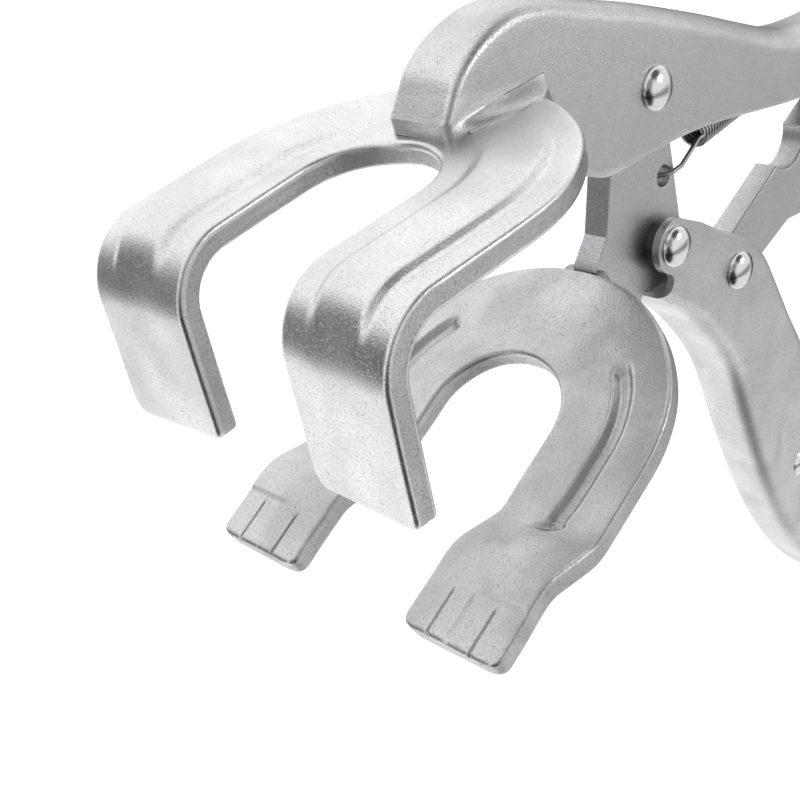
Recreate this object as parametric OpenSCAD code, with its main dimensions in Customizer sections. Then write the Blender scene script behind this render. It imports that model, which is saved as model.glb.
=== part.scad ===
// Locking welding pliers with two horseshoe jaws, drawn open and lying on their side.
// Tool axes: X forward to the jaws, Z up from the lower jaw to the upper, Y across.
// The jaw pivot is the origin of the tool axes.

/* [Upper jaw] */
// Thickness of both forged jaw plates
plate_t = 4; // [3:0.5:6]
// Rounding along the edges of the forged plates
edge_r = 0.8; // [0.3:0.1:1.5]
// Outside width of the upper horseshoe
upper_width = 64; // [56:1:76]
// Clear width of the upper throat
upper_gap = 23.6; // [18:0.2:30]
// From the jaw pivot forward to the front face of the tips
jaw_reach = 90.6; // [80:0.2:104]
// From the centre of the round throat end to the front face
upper_prong = 28; // [24:0.1:36]
// Height of the upper plate's top over the jaw pivot
seat_rise = 13.2; // [11:0.2:16]
// From the top of the upper plate down to the tip ends
tip_drop = 30.5; // [26:0.5:36]
// Outside bend radius where a prong turns down into its tip
bend_r = 11; // [8:0.5:14]
// How far each prong leans inwards
prong_toe = 2.2; // [0:0.1:4]
// How far the tips lean forwards at the bottom
tip_lean = 3; // [0:0.5:6]
// Large corner radius of a tip
tip_corner = 3.5; // [2:0.5:6]
// Small corner radius of a tip
tip_corner_small = 1.5; // [0.5:0.5:3]
// Width of the raised rib on each prong
rib_w = 12; // [8:0.5:15]
// Height of the raised rib
rib_h = 1.3; // [0.6:0.1:2]
// How far the rib follows the round of the horseshoe
rib_sweep = 44; // [20:1:70]

/* [Lower jaw] */
// Outside width of the lower horseshoe
lower_width = 62.8; // [54:0.4:74]
// Clear width of the lower throat
lower_gap = 24.8; // [18:0.2:30]
// From the rear rim of the lower horseshoe to its pad fronts
lower_len = 71; // [64:0.5:80]
// Slope of the lower plate when the jaws stand open
open_slope = 21.6; // [16:0.2:28]
// Rear rim of the lower plate ahead of the jaw pivot
rim_x = 18.9; // [17:0.1:22]
// Rear rim of the lower plate below the jaw pivot
rim_drop = 26.1; // [24:0.1:30]
// Rise of the pads over the plate
joggle_rise = 6.2; // [4:0.2:8]
// Slope of the step up to the pads
joggle_angle = 33; // [20:1:45]
// Radius of the plate's top where the step begins
joggle_r1 = 5; // [3:0.5:8]
// Radius of the plate's top where the step ends
joggle_r2 = 10; // [6:0.5:14]
// Length of the flat clamping pads
pad_len = 12; // [9:0.5:16]
// Corner radius of the pads
pad_corner = 2.2; // [1:0.2:4]
// Half width of the curved groove in each prong
groove_r = 1.7; // [1:0.1:2.4]
// Depth of the curved groove
groove_depth = 1.1; // [0.5:0.1:1.6]
// How far the groove follows the round of the horseshoe
groove_sweep = 36; // [15:1:60]
// Length of the scored lines on the pads
score_len = 8.6; // [5:0.2:11]
// Width of the scored lines
score_w = 0.4; // [0.2:0.1:0.8]
// Depth of the scored lines
score_depth = 0.3; // [0.2:0.1:0.6]
// Depth of the coined step across a pad
coin_depth = 0.25; // [0.1:0.05:0.5]

/* [Jaw arm] */
// Thickness of the lower jaw's arm and of the toggle link
arm_t = 5; // [4:0.2:6]
// Radius of the arm's round end at the jaw pivot
arm_head_r = 9.5; // [8:0.5:10.5]
// Distance from the jaw pivot down to the handle pivot
arm_len = 30.3; // [28:0.1:34]
// Handle pivot ahead of the jaw pivot
arm_lead = 0.3; // [-1:0.1:2]
// Radius of the arm's round around the handle pivot
arm_heel_r = 8.6; // [8:0.1:9]
// How far the arm's toe reaches under the lower plate
toe_len = 18; // [14:0.5:19]
// Spring hole behind the jaw pivot
spring_hole_x = 3.7; // [2.5:0.1:4.5]
// Spring hole below the jaw pivot
spring_hole_drop = 18.7; // [17:0.1:21]
// Radius of the spring hole
spring_hole_r = 2; // [1.6:0.1:2.4]

/* [Handles] */
// Outside width of the upper handle
upper_handle_w = 12; // [11.6:0.2:15]
// Sheet thickness of the upper handle
upper_sheet = 1.6; // [1.2:0.1:2]
// Outside width of the lower handle
lower_handle_w = 12.4; // [12:0.2:15]
// Sheet thickness of the lower handle
lower_sheet = 1.5; // [1.2:0.1:2]
// Slope of the lower handle below level when the jaws stand open
handle_slope = 70; // [64:1:74]
// Radius of the lower handle's ears
ear_r = 5.2; // [5:0.1:6]
// From the handle pivot to the link pivot, along the handle
link_pin_u = 21.2; // [19:0.1:24]
// Link pivot above the handle pivot, across the handle
link_pin_v = 12.6; // [11:0.1:14]
// Width of the tongue that holds the spring
tongue_w = 2.2; // [1.6:0.1:2.4]
// How far the flared lip along the seat spreads, as a share of its drawn width
lip_spread = 1; // [0.8:0.05:1.1]
// Height at the nose of the crease over the flared lip
lip_h = 2.6; // [2:0.1:3]
// Thickness of the flared lip's rim
lip_t = 0.6; // [0.4:0.05:0.8]
// Length of the seat that the nose stands on
seat_len = 22.4; // [21:0.1:23]
// Leg length of the weld beads on the upper jaw
seat_weld = 1.2; // [0.8:0.1:1.8]
// Radius of the weld bead on the lower jaw
rim_weld_r = 1.3; // [0.8:0.1:1.8]

/* [Link and screw] */
// Screw tip behind the jaw pivot
screw_tip_x = 95; // [90:0.5:100]
// Screw tip below the jaw pivot
screw_tip_drop = 20.5; // [19.8:0.1:21.4]
// Slope of the screw
screw_slope = 4; // [2:0.5:6]
// Gap between the link's end and the screw tip
link_gap = 3; // [2.8:0.1:4]
// Radius of the link's round at the link pivot
link_boss_r = 6.2; // [5.4:0.1:7]
// Radius of the link's round rear end
link_end_r = 3.8; // [3:0.1:4.2]
// Radius of the notch in the link's upper edge
link_notch_r = 6; // [5:0.2:7]
// Radius of the screw
screw_r = 3.9; // [3.4:0.1:4]
// Outside radius of the threaded sleeve
sleeve_r = 6.4; // [6.2:0.1:7]
// Length of the threaded sleeve
sleeve_len = 16; // [12:0.5:20]
// Screw tip to the front of the sleeve
sleeve_start = 13; // [10:0.5:16]
// How far the folded end of the upper handle laps over the sleeve
tail_lap = 4; // [2:0.5:8]
// Radius of the knurled head
knob_r = 8.5; // [7:0.5:10]
// Length of the knurled head
knob_len = 15; // [12:0.5:20]
// Bevel round both ends of the knurled head
knob_bevel = 1.2; // [0.6:0.1:2]
// Gap between the sleeve and the knurled head
knob_gap = 4; // [3:0.5:8]
// Number of grooves round the knurled head
knob_grooves = 24; // [12:1:36]

/* [Release lever] */
// Clearance on each side between the release lever and the lower handle's walls
lever_gap = 0.4; // [0.2:0.05:0.8]
// Sheet thickness of the release lever
lever_sheet = 1.2; // [0.8:0.1:1.4]
// Lever pin, along the handle from the handle pivot
lever_pin_u = 84; // [80:0.5:88]
// Lever pin, across the handle
lever_pin_v = 8; // [6:0.5:9]
// Radius of the lever pin
lever_pin_r = 2; // [1.5:0.1:2.5]

/* [Rivets, washers and spring] */
// Radius of the rivet shanks
rivet_r = 3; // [2.5:0.1:3.5]
// Radius of the rivet heads
rivet_head_r = 4; // [3.6:0.1:4.6]
// Height of the rivet heads
rivet_head_h = 2.1; // [1.5:0.1:2.6]
// Radius of the jaw pivot washers
washer_r = 5.6; // [4.8:0.1:7]
// Radius of the two smaller pairs of washers
small_washer_r = 4.4; // [4:0.1:4.8]
// Running clearance on the radius of every pivot
fit = 0.05; // [0.02:0.01:0.1]
// Clearance between faces that slide on each other
side_fit = 0.05; // [0.02:0.01:0.1]
// Wire radius of the spring
wire_r = 0.45; // [0.35:0.05:0.6]
// Radius of the coil, to the middle of the wire
coil_r = 2.6; // [2.4:0.1:3]
// Radius of the spring's end loops
loop_r = 3.2; // [3:0.1:3.4]
// Straight neck between the front loop and the coil
neck_len = 6.5; // [4:0.5:8]
// Height of the coil over the spring hole
coil_lift = 1.8; // [1:0.1:2.4]
// Length of each hook's free tail
hook_tail = 2.5; // [1.5:0.1:3.5]
// Length of the close coil
coil_len = 31; // [24:1:36]

/* [Hidden] */
$fn = 48;
// sizes worked out from the values above
upper_r_in = upper_gap / 2;
upper_r_out = upper_width / 2;
upper_mid = (upper_r_in + upper_r_out) / 2;
upper_bar = upper_r_out - upper_r_in;
upper_centre_x = jaw_reach - upper_prong;
lower_r_in = lower_gap / 2;
lower_r_out = lower_width / 2;
lower_mid = (lower_r_in + lower_r_out) / 2;
lower_bar = lower_r_out - lower_r_in;
joggle_rad = joggle_r1 + joggle_r2;
joggle_run = (joggle_rise - joggle_rad * (1 - cos(joggle_angle))) / sin(joggle_angle);
joggle_len = joggle_rad * sin(joggle_angle) + joggle_run * cos(joggle_angle);
leg_end = lower_len - pad_len - joggle_len;
arm_half = arm_t / 2;
upper_half = upper_handle_w / 2;
lower_half = lower_handle_w / 2;
lever_half = lower_half - lower_sheet - lever_gap;
bore_r = rivet_r + fit;

// pivots in the tool axes, at rest with the jaws open
heel = [arm_lead, -arm_len];
handle_u = [-cos(handle_slope), -sin(handle_slope)];
handle_v = [-sin(handle_slope), cos(handle_slope)];
link_pin = heel + link_pin_u * handle_u + link_pin_v * handle_v;
screw_tip = [-screw_tip_x, -screw_tip_drop];
link_span = norm(screw_tip - link_pin);
link_angle = atan2(screw_tip[1] - link_pin[1], screw_tip[0] - link_pin[0]);
spring_hole = [-spring_hole_x, -spring_hole_drop];

// the slope at which the pads meet the tips
rim = [rim_x, -rim_drop];
bend_at = [jaw_reach - bend_r, seat_rise - bend_r];
tip_run = (tip_drop - bend_r + bend_r * sin(tip_lean)) / cos(tip_lean);
tip_end = bend_at + (bend_r - plate_t / 2) * [cos(tip_lean), sin(tip_lean)]
  + tip_run * [sin(tip_lean), -cos(tip_lean)];
pad_depth = -(rim[0] * sin(open_slope) + rim[1] * cos(open_slope)) - joggle_rise;
meet_slope = -atan2(tip_end[1], tip_end[0]) - asin(pad_depth / norm(tip_end));
close_angle = open_slope - meet_slope;

// how the tool lies: it rests on the far side of both jaws and on the knurled head
screw_dir = [-cos(screw_slope), -sin(screw_slope)];
knob_end = screw_tip + (sleeve_start + sleeve_len + knob_gap + knob_len) * screw_dir;
knob_rim = knob_end - knob_bevel * screw_dir;
lower_centre = rim + lower_r_out * [cos(open_slope), -sin(open_slope)];
function plane_normal(a, b, c) = let (n = cross(b - a, c - a)) n / norm(n) * sign(n[1]);
function upper_foot(n) = [upper_centre_x - upper_r_out * n[0], -upper_r_out,
  seat_rise - plate_t / 2];
function lower_foot(n) = [lower_centre[0] - lower_r_out * n[0] * cos(open_slope), -lower_r_out,
  lower_centre[1] + lower_r_out * n[0] * sin(open_slope)];
rest_c = [knob_rim[0], -knob_r, knob_rim[1]];
rest_first = plane_normal(upper_foot([0, 1, 0]), lower_foot([0, 1, 0]), rest_c);
rest_a = upper_foot(rest_first);
rest_b = lower_foot(rest_first);
rest_unit = plane_normal(rest_a, rest_b, rest_c);
rest_turn_z = atan2(rest_unit[0], rest_unit[1]);
rest_turn_x = -atan2(rest_unit[2], norm([rest_unit[0], rest_unit[1]]));
rest_height = -(rest_a * rest_unit);
function laid(p) = let (c = cos(rest_turn_z), s = sin(rest_turn_z),
    q = [p[0] * c - p[1] * s, p[0] * s + p[1] * c], a = 90 + rest_turn_x)
  [q[0], q[1] * cos(a) - p[2] * sin(a)];

// nose of the upper handle, ahead of the jaw pivot
nose_x = jaw_reach - 41.2;
// folded rear end of the upper handle, over the sleeve
tail_x = screw_tip[0] - sleeve_start - tail_lap;
// Side outlines of the upper handle: outer web points, and wall edge points facing them
handle_top = [
  [nose_x, seat_rise], [nose_x, seat_rise + lip_t], [nose_x + 0.1, seat_rise + lip_h],
  [47, 18.8], [45, 21.1],
  [42.3, 23], [39, 24.5], [35, 25.5], [31, 25.9], [27, 25.5], [22, 24], [16, 21.6], [9, 18.6],
  [1.5, 15.4], [-9.2, 10.3], [-20.7, 4.6], [-31, -0.8], [-39.7, -5.2], [-47, -8.1],
  [-56, -10.2], [-70, -12.2], [tail_x + 22, -14.1], [tail_x, -15.6]];
handle_edge = [
  [nose_x - seat_len, seat_rise], [nose_x - seat_len, seat_rise + lip_t],
  [nose_x - seat_len - 0.2, seat_rise + lip_h / 2], [26.4, 11.4], [25.9, 9.6],
  [25.3, 7.4], [24.6, 4.6], [23.8, 1.6], [22.8, -2], [21.2, -5.6], [18.2, -7.8], [14.5, -9.2],
  [8.5, -9.9], [1, -10.7], [-9, -12.2], [-20, -14.8], [-30.9, -17.9], [-40, -20.5],
  [-48, -22.4], [-57, -24], [-71, -25.9], [tail_x + 21, -27.4], [tail_x, -28.2]];
handle_bend = [1.3, 1.3, 1.3, 1.4, 1.6, 1.8, 2.1, 2.4, 2.7, 3, 3.2, 3.4, 3.5, 3.6, 3.8, 4.1, 4.3,
  4.4, 4.4, 4.3, 4.1, 4, 4];

// Side outlines of the lower handle, along and across it from the handle pivot
grip_web = [
  [-8, -9.6], [0, -8.8], [8, -7.2], [12.3, -5.1], [20.6, -2.1], [30.7, 0.1], [39.1, 0.9],
  [46, 0.5], [56, -0.9],
  [67, -2.3], [78, -3.3], [88, -3.6], [98, -3.3], [108, -2.2], [118, -0.2], [127, 2.6],
  [134, 5.6], [137, 7.4]];
grip_edge = [
  [-8, 4], [-1, 7], [7.5, 11.2], [12.4, 14.5], [18.5, 18.2], [26, 20.8], [37, 21.3],
  [47, 21.5], [56, 22],
  [67, 21.2], [78, 19.2], [88, 17], [97, 15.3], [106, 14.4], [115, 14.4], [124, 15.6],
  [131, 17.4], [133.6, 16]];
grip_bend = [2.4, 2.4, 2.4, 2.6, 3, 3.2, 3.4, 3.5, 3.6, 3.7, 3.8, 3.8, 3.8, 3.8, 3.8, 3.6, 3.2, 2.8];

// Side outlines of the release lever in the same axes
lever_web = [
  [57, 10.5], [58.4, 13], [62, 14.6], [70, 14.4], [78, 13.6], [86, 13.2], [94, 14], [102, 16.2],
  [110, 19], [118, 21.8], [125, 24], [130, 25]];
lever_edge = [
  [58.4, 9.2], [60.6, 8.2], [64, 7], [71, 5.2], [78, 3.8], [86, 3.4], [93, 5.6], [101, 10],
  [109.5, 14.4], [118, 18.6], [125.4, 21.8], [130.4, 23.2]];
lever_bend = [1, 1.3, 1.6, 1.8, 1.8, 1.8, 1.8, 1.8, 1.7, 1.6, 1.4, 1];

// middle of the lying tool's outline, between its four outermost points
laid_front = laid([tip_end[0] + plate_t / 2, tip_corner - upper_r_out, tip_end[1]]);
laid_back = laid([knob_rim[0], knob_r, knob_rim[1]]);
highest = handle_top[8];
grip_end = grip_web[17];
grip_corner = [134, 16];
laid_top = laid([highest[0], upper_half, highest[1]]);
laid_low = laid([heel[0] + grip_corner * [handle_u[0], handle_v[0]], 0,
  heel[1] + grip_end * [handle_u[1], handle_v[1]]]);
middle = [(laid_front[0] + laid_back[0]) / 2, (laid_top[1] + laid_low[1]) / 2];

steel = [0.78, 0.79, 0.8];
dark_steel = [0.55, 0.56, 0.58];

// One U section, half_w wide each side, from its web point to its edge point
bend_steps = 4;
function bend_arc(c, r, a0, a1) =
  [for (k = [0 : bend_steps]) c + r * [cos(a0 + (a1 - a0) * k / bend_steps),
    sin(a0 + (a1 - a0) * k / bend_steps)]];
function u_section(half_w, depth, sheet, bend, cuts = [], out = []) =
  let (ri = max(bend - sheet, 0.2), ci = [half_w - sheet - ri, sheet + ri],
    foot = sheet + ri, rise = [for (c = cuts) foot + (depth - foot) * c])
  concat(
    [[-half_w, depth]],
    [for (k = [len(cuts) - 1 : -1 : 0]) [-half_w - out[k], rise[k]]],
    bend_arc([-half_w + bend, bend], bend, 180, 270),
    bend_arc([half_w - bend, bend], bend, 270, 360),
    [for (k = [0 : 1 : len(cuts) - 1]) [half_w + out[k], rise[k]]],
    [[half_w, depth], [half_w - sheet, depth]],
    [for (k = [len(cuts) - 1 : -1 : 0]) [half_w - sheet, rise[k]]],
    bend_arc(ci, ri, 360, 270),
    bend_arc([-ci[0], ci[1]], ri, 270, 180),
    [for (k = [0 : 1 : len(cuts) - 1]) [-half_w + sheet, rise[k]]],
    [[-half_w + sheet, depth]]);

// Closed skin through rings of points; each ring is two chains of equal count
module skin(rings) {
  count = len(rings);
  ring = len(rings[0]);
  walls = [for (i = [0 : count - 2]) for (j = [0 : ring - 1])
    let (a = i * ring + j, b = i * ring + (j + 1) % ring) each
    [[a, a + ring, b], [b, a + ring, b + ring]]];
  cap = [for (j = [0 : ring / 2 - 2]) let (a = j, b = j + 1, c = ring - 1 - j, d = ring - 2 - j)
    each [[a, b, c], [b, d, c]]];
  last = (count - 1) * ring;
  ends = concat(cap, [for (f = cap) [f[0] + last, f[2] + last, f[1] + last]]);
  polyhedron(points = [for (r = rings) each r], faces = concat(walls, ends), convexity = 6);
}
// A folded channel swept through pairs of web and edge points
// cuts and out spread the walls of the first two pairs into a lip
module channel(webs, edges, bends, half_w, sheet, cuts = [], out = []) {
  flat = [for (k = out) 0];
  skin([for (i = [0 : len(webs) - 1])
    let (d = edges[i] - webs[i], depth = norm(d), dir = d / depth)
    [for (p = u_section(half_w, depth, sheet, bends[i], cuts, i < 2 ? out : flat))
      [webs[i][0] + dir[0] * p[1], p[0], webs[i][1] + dir[1] * p[1]]]]);
}

// The tool axes laid down on the far side, standing on z = 0
module tool() {
  translate([-middle[0], -middle[1], rest_height]) rotate([90 + rest_turn_x, 0, 0])
    rotate([0, 0, rest_turn_z]) children();
}
// The lower plate's own axes: X along the plate from its rear rim, Z out of its top
module on_lower_plate() {
  translate([rim[0], 0, rim[1]]) rotate([0, open_slope, 0]) children();
}
// The lower handle's own axes: X along it from the handle pivot, Z across it
module on_handle() {
  translate([heel[0], 0, heel[1]]) rotate([0, 180 - handle_slope, 0]) mirror([0, 0, 1])
    children();
}
// The link's own axes: X from the link pivot to the screw tip, Z up across it
module on_link() {
  translate([link_pin[0], 0, link_pin[1]]) rotate([0, -link_angle, 0]) mirror([0, 0, 1])
    children();
}
// The screw's own axes: Z from its tip towards its head
module on_screw() {
  translate([screw_tip[0], 0, screw_tip[1]]) rotate([0, -90 - screw_slope, 0]) children();
}
// Stands a flat side outline up in the XZ plane, centred on the tool's middle
module side_plate(thick) {
  for (i = [0 : $children - 1])
    rotate([90, 0, 0]) linear_extrude(thick, center = true) children(i);
}
module cross_bore(r, length) {
  rotate([90, 0, 0]) cylinder(r = r, h = length, center = true);
}

// Ring of a forged bar from y0 to y1 outwards, its top at zero. A form is a list of
// points from its own middle outwards, raised over or sunk below the top k times as much.
function edge_arc(c, a0) = [for (n = [0 : 2])
  c + edge_r * [cos(a0 + 45 * n), sin(a0 + 45 * n)]];
function bar_ring(y0, y1, mid, form, k) =
  let (n = len(form), y2 = mid - form[n - 1][0], y3 = mid + form[n - 1][0])
  concat(
    [for (p = edge_arc([-y0 - edge_r, -edge_r], 0)) [-p[0], p[1]]],
    [for (i = [n - 1 : -1 : 1]) [mid - form[i][0], k * form[i][1]]],
    [for (q = form) [mid + q[0], k * q[1]]],
    [for (i = [2 : -1 : 0]) edge_arc([y1 - edge_r, -edge_r], 0)[i]],
    [for (i = [2 : -1 : 0]) edge_arc([y1 - edge_r, edge_r - plate_t], -90)[i]],
    [for (i = [2 * n - 2 : -1 : 0]) [y2 + (y3 - y2) * i / (2 * n - 2), -plate_t]],
    [for (i = [0 : 2]) let (p = edge_arc([-y0 - edge_r, edge_r - plate_t], -90)[i])
      [-p[0], p[1]]]);
// Rings of one half, then of its mirror image, as one run
function both_halves(half) = concat(half, [for (i = [len(half) - 2 : -1 : 0])
  [for (p = half[i]) [p[0], -p[1], p[2]]]]);
// A section point r outwards and z up, on the round at angle b from the side
function on_round(r, z, b) = [-r * sin(b), r * cos(b), z];
rib_form = [[0, rib_h], [rib_w * 0.2, rib_h * 0.95], [rib_w * 0.38, rib_h * 0.62],
  [rib_w / 2, 0]];
groove_form = [[0, -groove_depth], [groove_r * 0.6, -groove_depth * 0.75], [groove_r, 0]];

// The upper jaw's run on one side: tip, bend, straight and half the round
prong_run = upper_prong - bend_r;
last_turn = 90 - tip_lean;
round_step = 7.5;
function on_prong(r, s, z) = on_round(r, z, -prong_toe)
  + s * [cos(prong_toe), -sin(prong_toe), 0];
function upper_ring(k) = bar_ring(upper_r_in, upper_r_out, upper_mid, rib_form, k);
function on_tip(p, f, t) = on_prong(p[0],
  prong_run + (bend_r + p[1]) * sin(f) + t * cos(f),
  -bend_r + (bend_r + p[1]) * cos(f) - t * sin(f));
upper_half_run = concat(
  [for (t = [tip_run + 1, 8, 5.4, 2.6]) let (k = max(0, min(1, (8 - t) / 6)))
    [for (p = upper_ring(k)) on_tip(p, last_turn, t)]],
  [for (f = [1 : -1 / 6 : 0.01]) [for (p = upper_ring(1)) on_tip(p, f * last_turn, 0)]],
  [[for (p = upper_ring(1)) on_prong(p[0], prong_run, p[1])]],
  [for (b = [-prong_toe, for (a = [7.5 : round_step : 90]) a])
    let (k = max(0, min(1, (rib_sweep + 6 - b) / 14)))
    [for (p = upper_ring(k)) on_round(p[0], p[1], b)]]);
// What the tip's corners lose, in the prong's own axes
module tip_corner_cut(y, way, r) {
  translate([tip_run - r, y - way * r, bend_r - plate_t - 1]) difference() {
    translate([0, min(0, way * (r + 1)), 0]) cube([r + 2, r + 1, plate_t + 3]);
    translate([0, 0, -1]) cylinder(r = r, h = plate_t + 5);
  }
}
module upper_jaw() {
  color(steel) difference() {
    translate([upper_centre_x, 0, seat_rise]) difference() {
      skin(both_halves(upper_half_run));
      for (side = [0, 1]) mirror([0, side, 0]) rotate([0, 0, -prong_toe])
        translate([prong_run, 0, -bend_r]) rotate([0, last_turn, 0]) {
          tip_corner_cut(upper_r_in, -1, side == 0 ? tip_corner : tip_corner_small);
          tip_corner_cut(upper_r_out, 1, side == 0 ? tip_corner_small : tip_corner);
        }
    }
    translate([tip_end[0], 0, tip_end[1]]) rotate([0, meet_slope, 0])
      translate([-20, -upper_width, -20]) cube([40, 2 * upper_width, 20]);
  }
}

// How far the lip spreads at each share of the seat's length from the nose to the rear
lip_cuts = [0.14, 0.3, 0.45, 0.6, 0.74, 0.88];
lip_out = [1.3, 1.9, 2.8, 3.7, 4.2, 2.6];
module upper_handle() {
  color(steel) difference() {
    union() {
      channel(handle_top, handle_edge, handle_bend, upper_half, upper_sheet, lip_cuts,
        lip_out * lip_spread);
      on_screw() translate([0, 0, sleeve_start]) cylinder(r = sleeve_r, h = sleeve_len);
      spring_tongue();
    }
    cross_bore(bore_r, upper_handle_w + 2);
    on_screw() translate([0, 0, sleeve_start - 1])
      cylinder(r = screw_r + fit, h = sleeve_len + 2);
  }
}
tongue_x = spring_hole[0] - 2 * loop_r - neck_len - coil_len - 11;
module spring_tongue() {
  translate([tongue_x, -tongue_w / 2, spring_hole[1] + coil_lift - 2])
    cube([upper_sheet, tongue_w, 7]);
}

// Weld bead in the corner between the lip's rim and the jaw plate
module seat_bead() {
  skin([for (k = [0 : 3]) let (x = nose_x - seat_len * lip_cuts[k],
      y = upper_half + lip_out[k] * lip_spread, w = seat_weld * (k % 3 == 0 ? 0.5 : 1))
    [[x, y, seat_rise + lip_t - 0.1], [x, y + w * 0.6, seat_rise + lip_t * 0.6],
      [x, y + w, seat_rise], [x, y, seat_rise]]]);
}
module upper_jaw_weld_near() {
  color(dark_steel) seat_bead();
}
module upper_jaw_weld_far() {
  color(dark_steel) mirror([0, 1, 0]) seat_bead();
}

// Side outline of the arm; its toe runs under the lower plate
toe = rim + toe_len * [cos(open_slope), -sin(open_slope)]
  - (plate_t + 1.8) * [sin(open_slope), cos(open_slope)];
heel_round = heel + [1.2, 0.4];
module arm_plate() {
  side_plate(arm_t) {
    circle(arm_head_r);
    translate(heel_round) circle(arm_heel_r);
    polygon([[9, -3], [11, -11.9], [14.3, -21.8], [rim[0] - 1.8, rim[1] + 1.5],
      [rim[0] - 0.3, rim[1] + 0.1], [rim[0] + 2, rim[1] - plate_t], toe + [1.4, 1.9], toe,
      [20, -41], [9.6, -40.2], heel_round + [4.6, -7.4], heel_round - [0, arm_heel_r - 0.1],
      heel_round - [arm_heel_r - 0.1, 0], [-6.9, -13.7], [-8.9, -2]]);
  }
}
module lower_jaw_arm() {
  color(steel) difference() {
    arm_plate();
    cross_bore(bore_r, arm_t + 2);
    translate([heel[0], 0, heel[1]]) cross_bore(bore_r, arm_t + 2);
    translate([spring_hole[0], 0, spring_hole[1]]) cross_bore(spring_hole_r, arm_t + 2);
    on_lower_plate() translate([0, -arm_t, -plate_t]) cube([lower_len, 2 * arm_t, plate_t]);
  }
}

// The lower jaw's run on one side: pad, step, straight and half the round
groove_mid = lower_mid + 1.5;
function lower_ring(k, in) = bar_ring(lower_r_in, lower_r_out, groove_mid - in, groove_form, k);
function on_leg(p, s, f, r) = [s - (p[1] + r) * sin(f), p[0], (p[1] + r) * cos(f) - r];
step_a = joggle_angle;
groove_stop = leg_end - lower_r_out + joggle_r1 * sin(step_a) + 2;
lower_half_run = concat(
  [for (x = [lower_len - lower_r_out, leg_end + joggle_len - lower_r_out])
    [for (p = lower_ring(0, 3)) [x, p[0], p[1] + joggle_rise]]],
  [for (n = [1 : 4]) let (f = step_a * n / 4)
    [for (p = lower_ring(0, 3)) [leg_end + joggle_len - lower_r_out
      - (joggle_r2 + p[1]) * sin(f), p[0],
      joggle_rise - joggle_r2 + (joggle_r2 + p[1]) * cos(f)]]],
  [for (n = [4 : -1 : 1]) let (f = step_a * n / 4)
    [for (p = lower_ring(n > 2 ? 0 : 0.6, n * 0.75)) [leg_end - lower_r_out
      + (joggle_r1 - p[1]) * sin(f), p[0], joggle_r1 - (joggle_r1 - p[1]) * cos(f)]]],
  [for (x = [leg_end - lower_r_out, leg_end - lower_r_out - 5])
    [for (p = lower_ring(1, x > leg_end - lower_r_out - 1 ? 0.5 : 0)) [x, p[0], p[1]]]],
  [for (b = [0 : round_step : 90])
    let (k = max(0, min(1, (groove_sweep + 4 - b) / 12)))
    [for (p = lower_ring(k, 0)) on_round(p[0], p[1], b)]]);
module pad_corner_cut(y, way) {
  r = pad_corner;
  translate([lower_len - r, y - way * r, joggle_rise - plate_t - 1]) difference() {
    translate([0, min(0, way * (r + 1)), 0]) cube([r + 2, r + 1, plate_t + 3]);
    translate([0, 0, -1]) cylinder(r = r, h = plate_t + 5);
  }
}
module lower_jaw() {
  color(steel) on_lower_plate() difference() {
    translate([lower_r_out, 0, 0]) skin(both_halves(lower_half_run));
    for (side = [0, 1]) mirror([0, side, 0]) {
      pad_corner_cut(lower_r_in, -1);
      pad_corner_cut(lower_r_out, 1);
      for (part = [0.26, 0.74])
        translate([lower_len - score_len, lower_r_in + part * lower_bar,
          joggle_rise - score_depth]) cube([score_len + 1, score_w, 1]);
      translate([lower_len - score_len - 1, lower_r_in + 0.5 * lower_bar,
        joggle_rise - coin_depth]) cube([score_len + 2, lower_bar, 1]);
    }
  }
}
// Beads in the corners between the arm's sides and the rear rim of the plate
module lower_jaw_weld() {
  color(dark_steel) difference() {
    on_lower_plate() for (side = [-1, 1])
      translate([0.1, side * (arm_half + rim_weld_r * 0.5), edge_r - plate_t])
        cylinder(r = rim_weld_r, h = plate_t - 2 * edge_r);
    arm_plate();
    on_lower_plate() translate([lower_r_out, 0, -plate_t - 1])
      cylinder(r = lower_r_out, h = plate_t + 2);
  }
}

module lower_handle() {
  color(steel) on_handle() difference() {
    channel(grip_web, grip_edge, grip_bend, lower_half, lower_sheet);
    difference() {
      translate([-12, -lower_handle_w, -14]) cube([19.4, 2 * lower_handle_w, 30]);
      cross_bore(ear_r, 2 * lower_handle_w + 2);
      side_plate(2 * lower_handle_w + 2) ear_web();
    }
    cross_bore(bore_r, lower_handle_w + 2);
    translate([link_pin_u, 0, link_pin_v]) cross_bore(bore_r, lower_handle_w + 2);
    translate([lever_pin_u, 0, lever_pin_v])
      cross_bore(lever_pin_r + fit, lower_handle_w + 2);
  }
}
// Side outline of the two ears ahead of the folded part
module ear_web() {
  polygon([[-ear_r * 0.5, ear_r * 0.86], [2.4, 8.2], [7.4, 11.2], [8.4, 11], [8.4, -9],
    [6.6, -8], [6.4, -5], [5.4, -3.6], [4.2, -3.5], [3.4, -3.9], [0, 0]]);
}

module link_web() {
  polygon([[0, 3.2], [link_span - 36, 3.6], [link_span - 12, 3.8],
    [link_span - link_gap - link_end_r, link_end_r],
    [link_span - link_gap - link_end_r, -link_end_r], [link_span - 24, -5.4], [46, -9.6],
    [38, -13], [33, -14.4], [28, -13.4], [23, -10.4], [13, -9.4], [4, -7.6], [-1, -5.6]]);
}
module toggle_link() {
  color(steel) difference() {
    on_link() difference() {
      side_plate(arm_t) {
        circle(link_boss_r);
        link_web();
        translate([link_span - link_gap - link_end_r, 0]) circle(link_end_r);
      }
      translate([30.5, 0, 5.2]) cross_bore(link_notch_r, arm_t + 2);
    }
    translate([link_pin[0], 0, link_pin[1]]) cross_bore(bore_r, arm_t + 2);
  }
}

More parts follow.
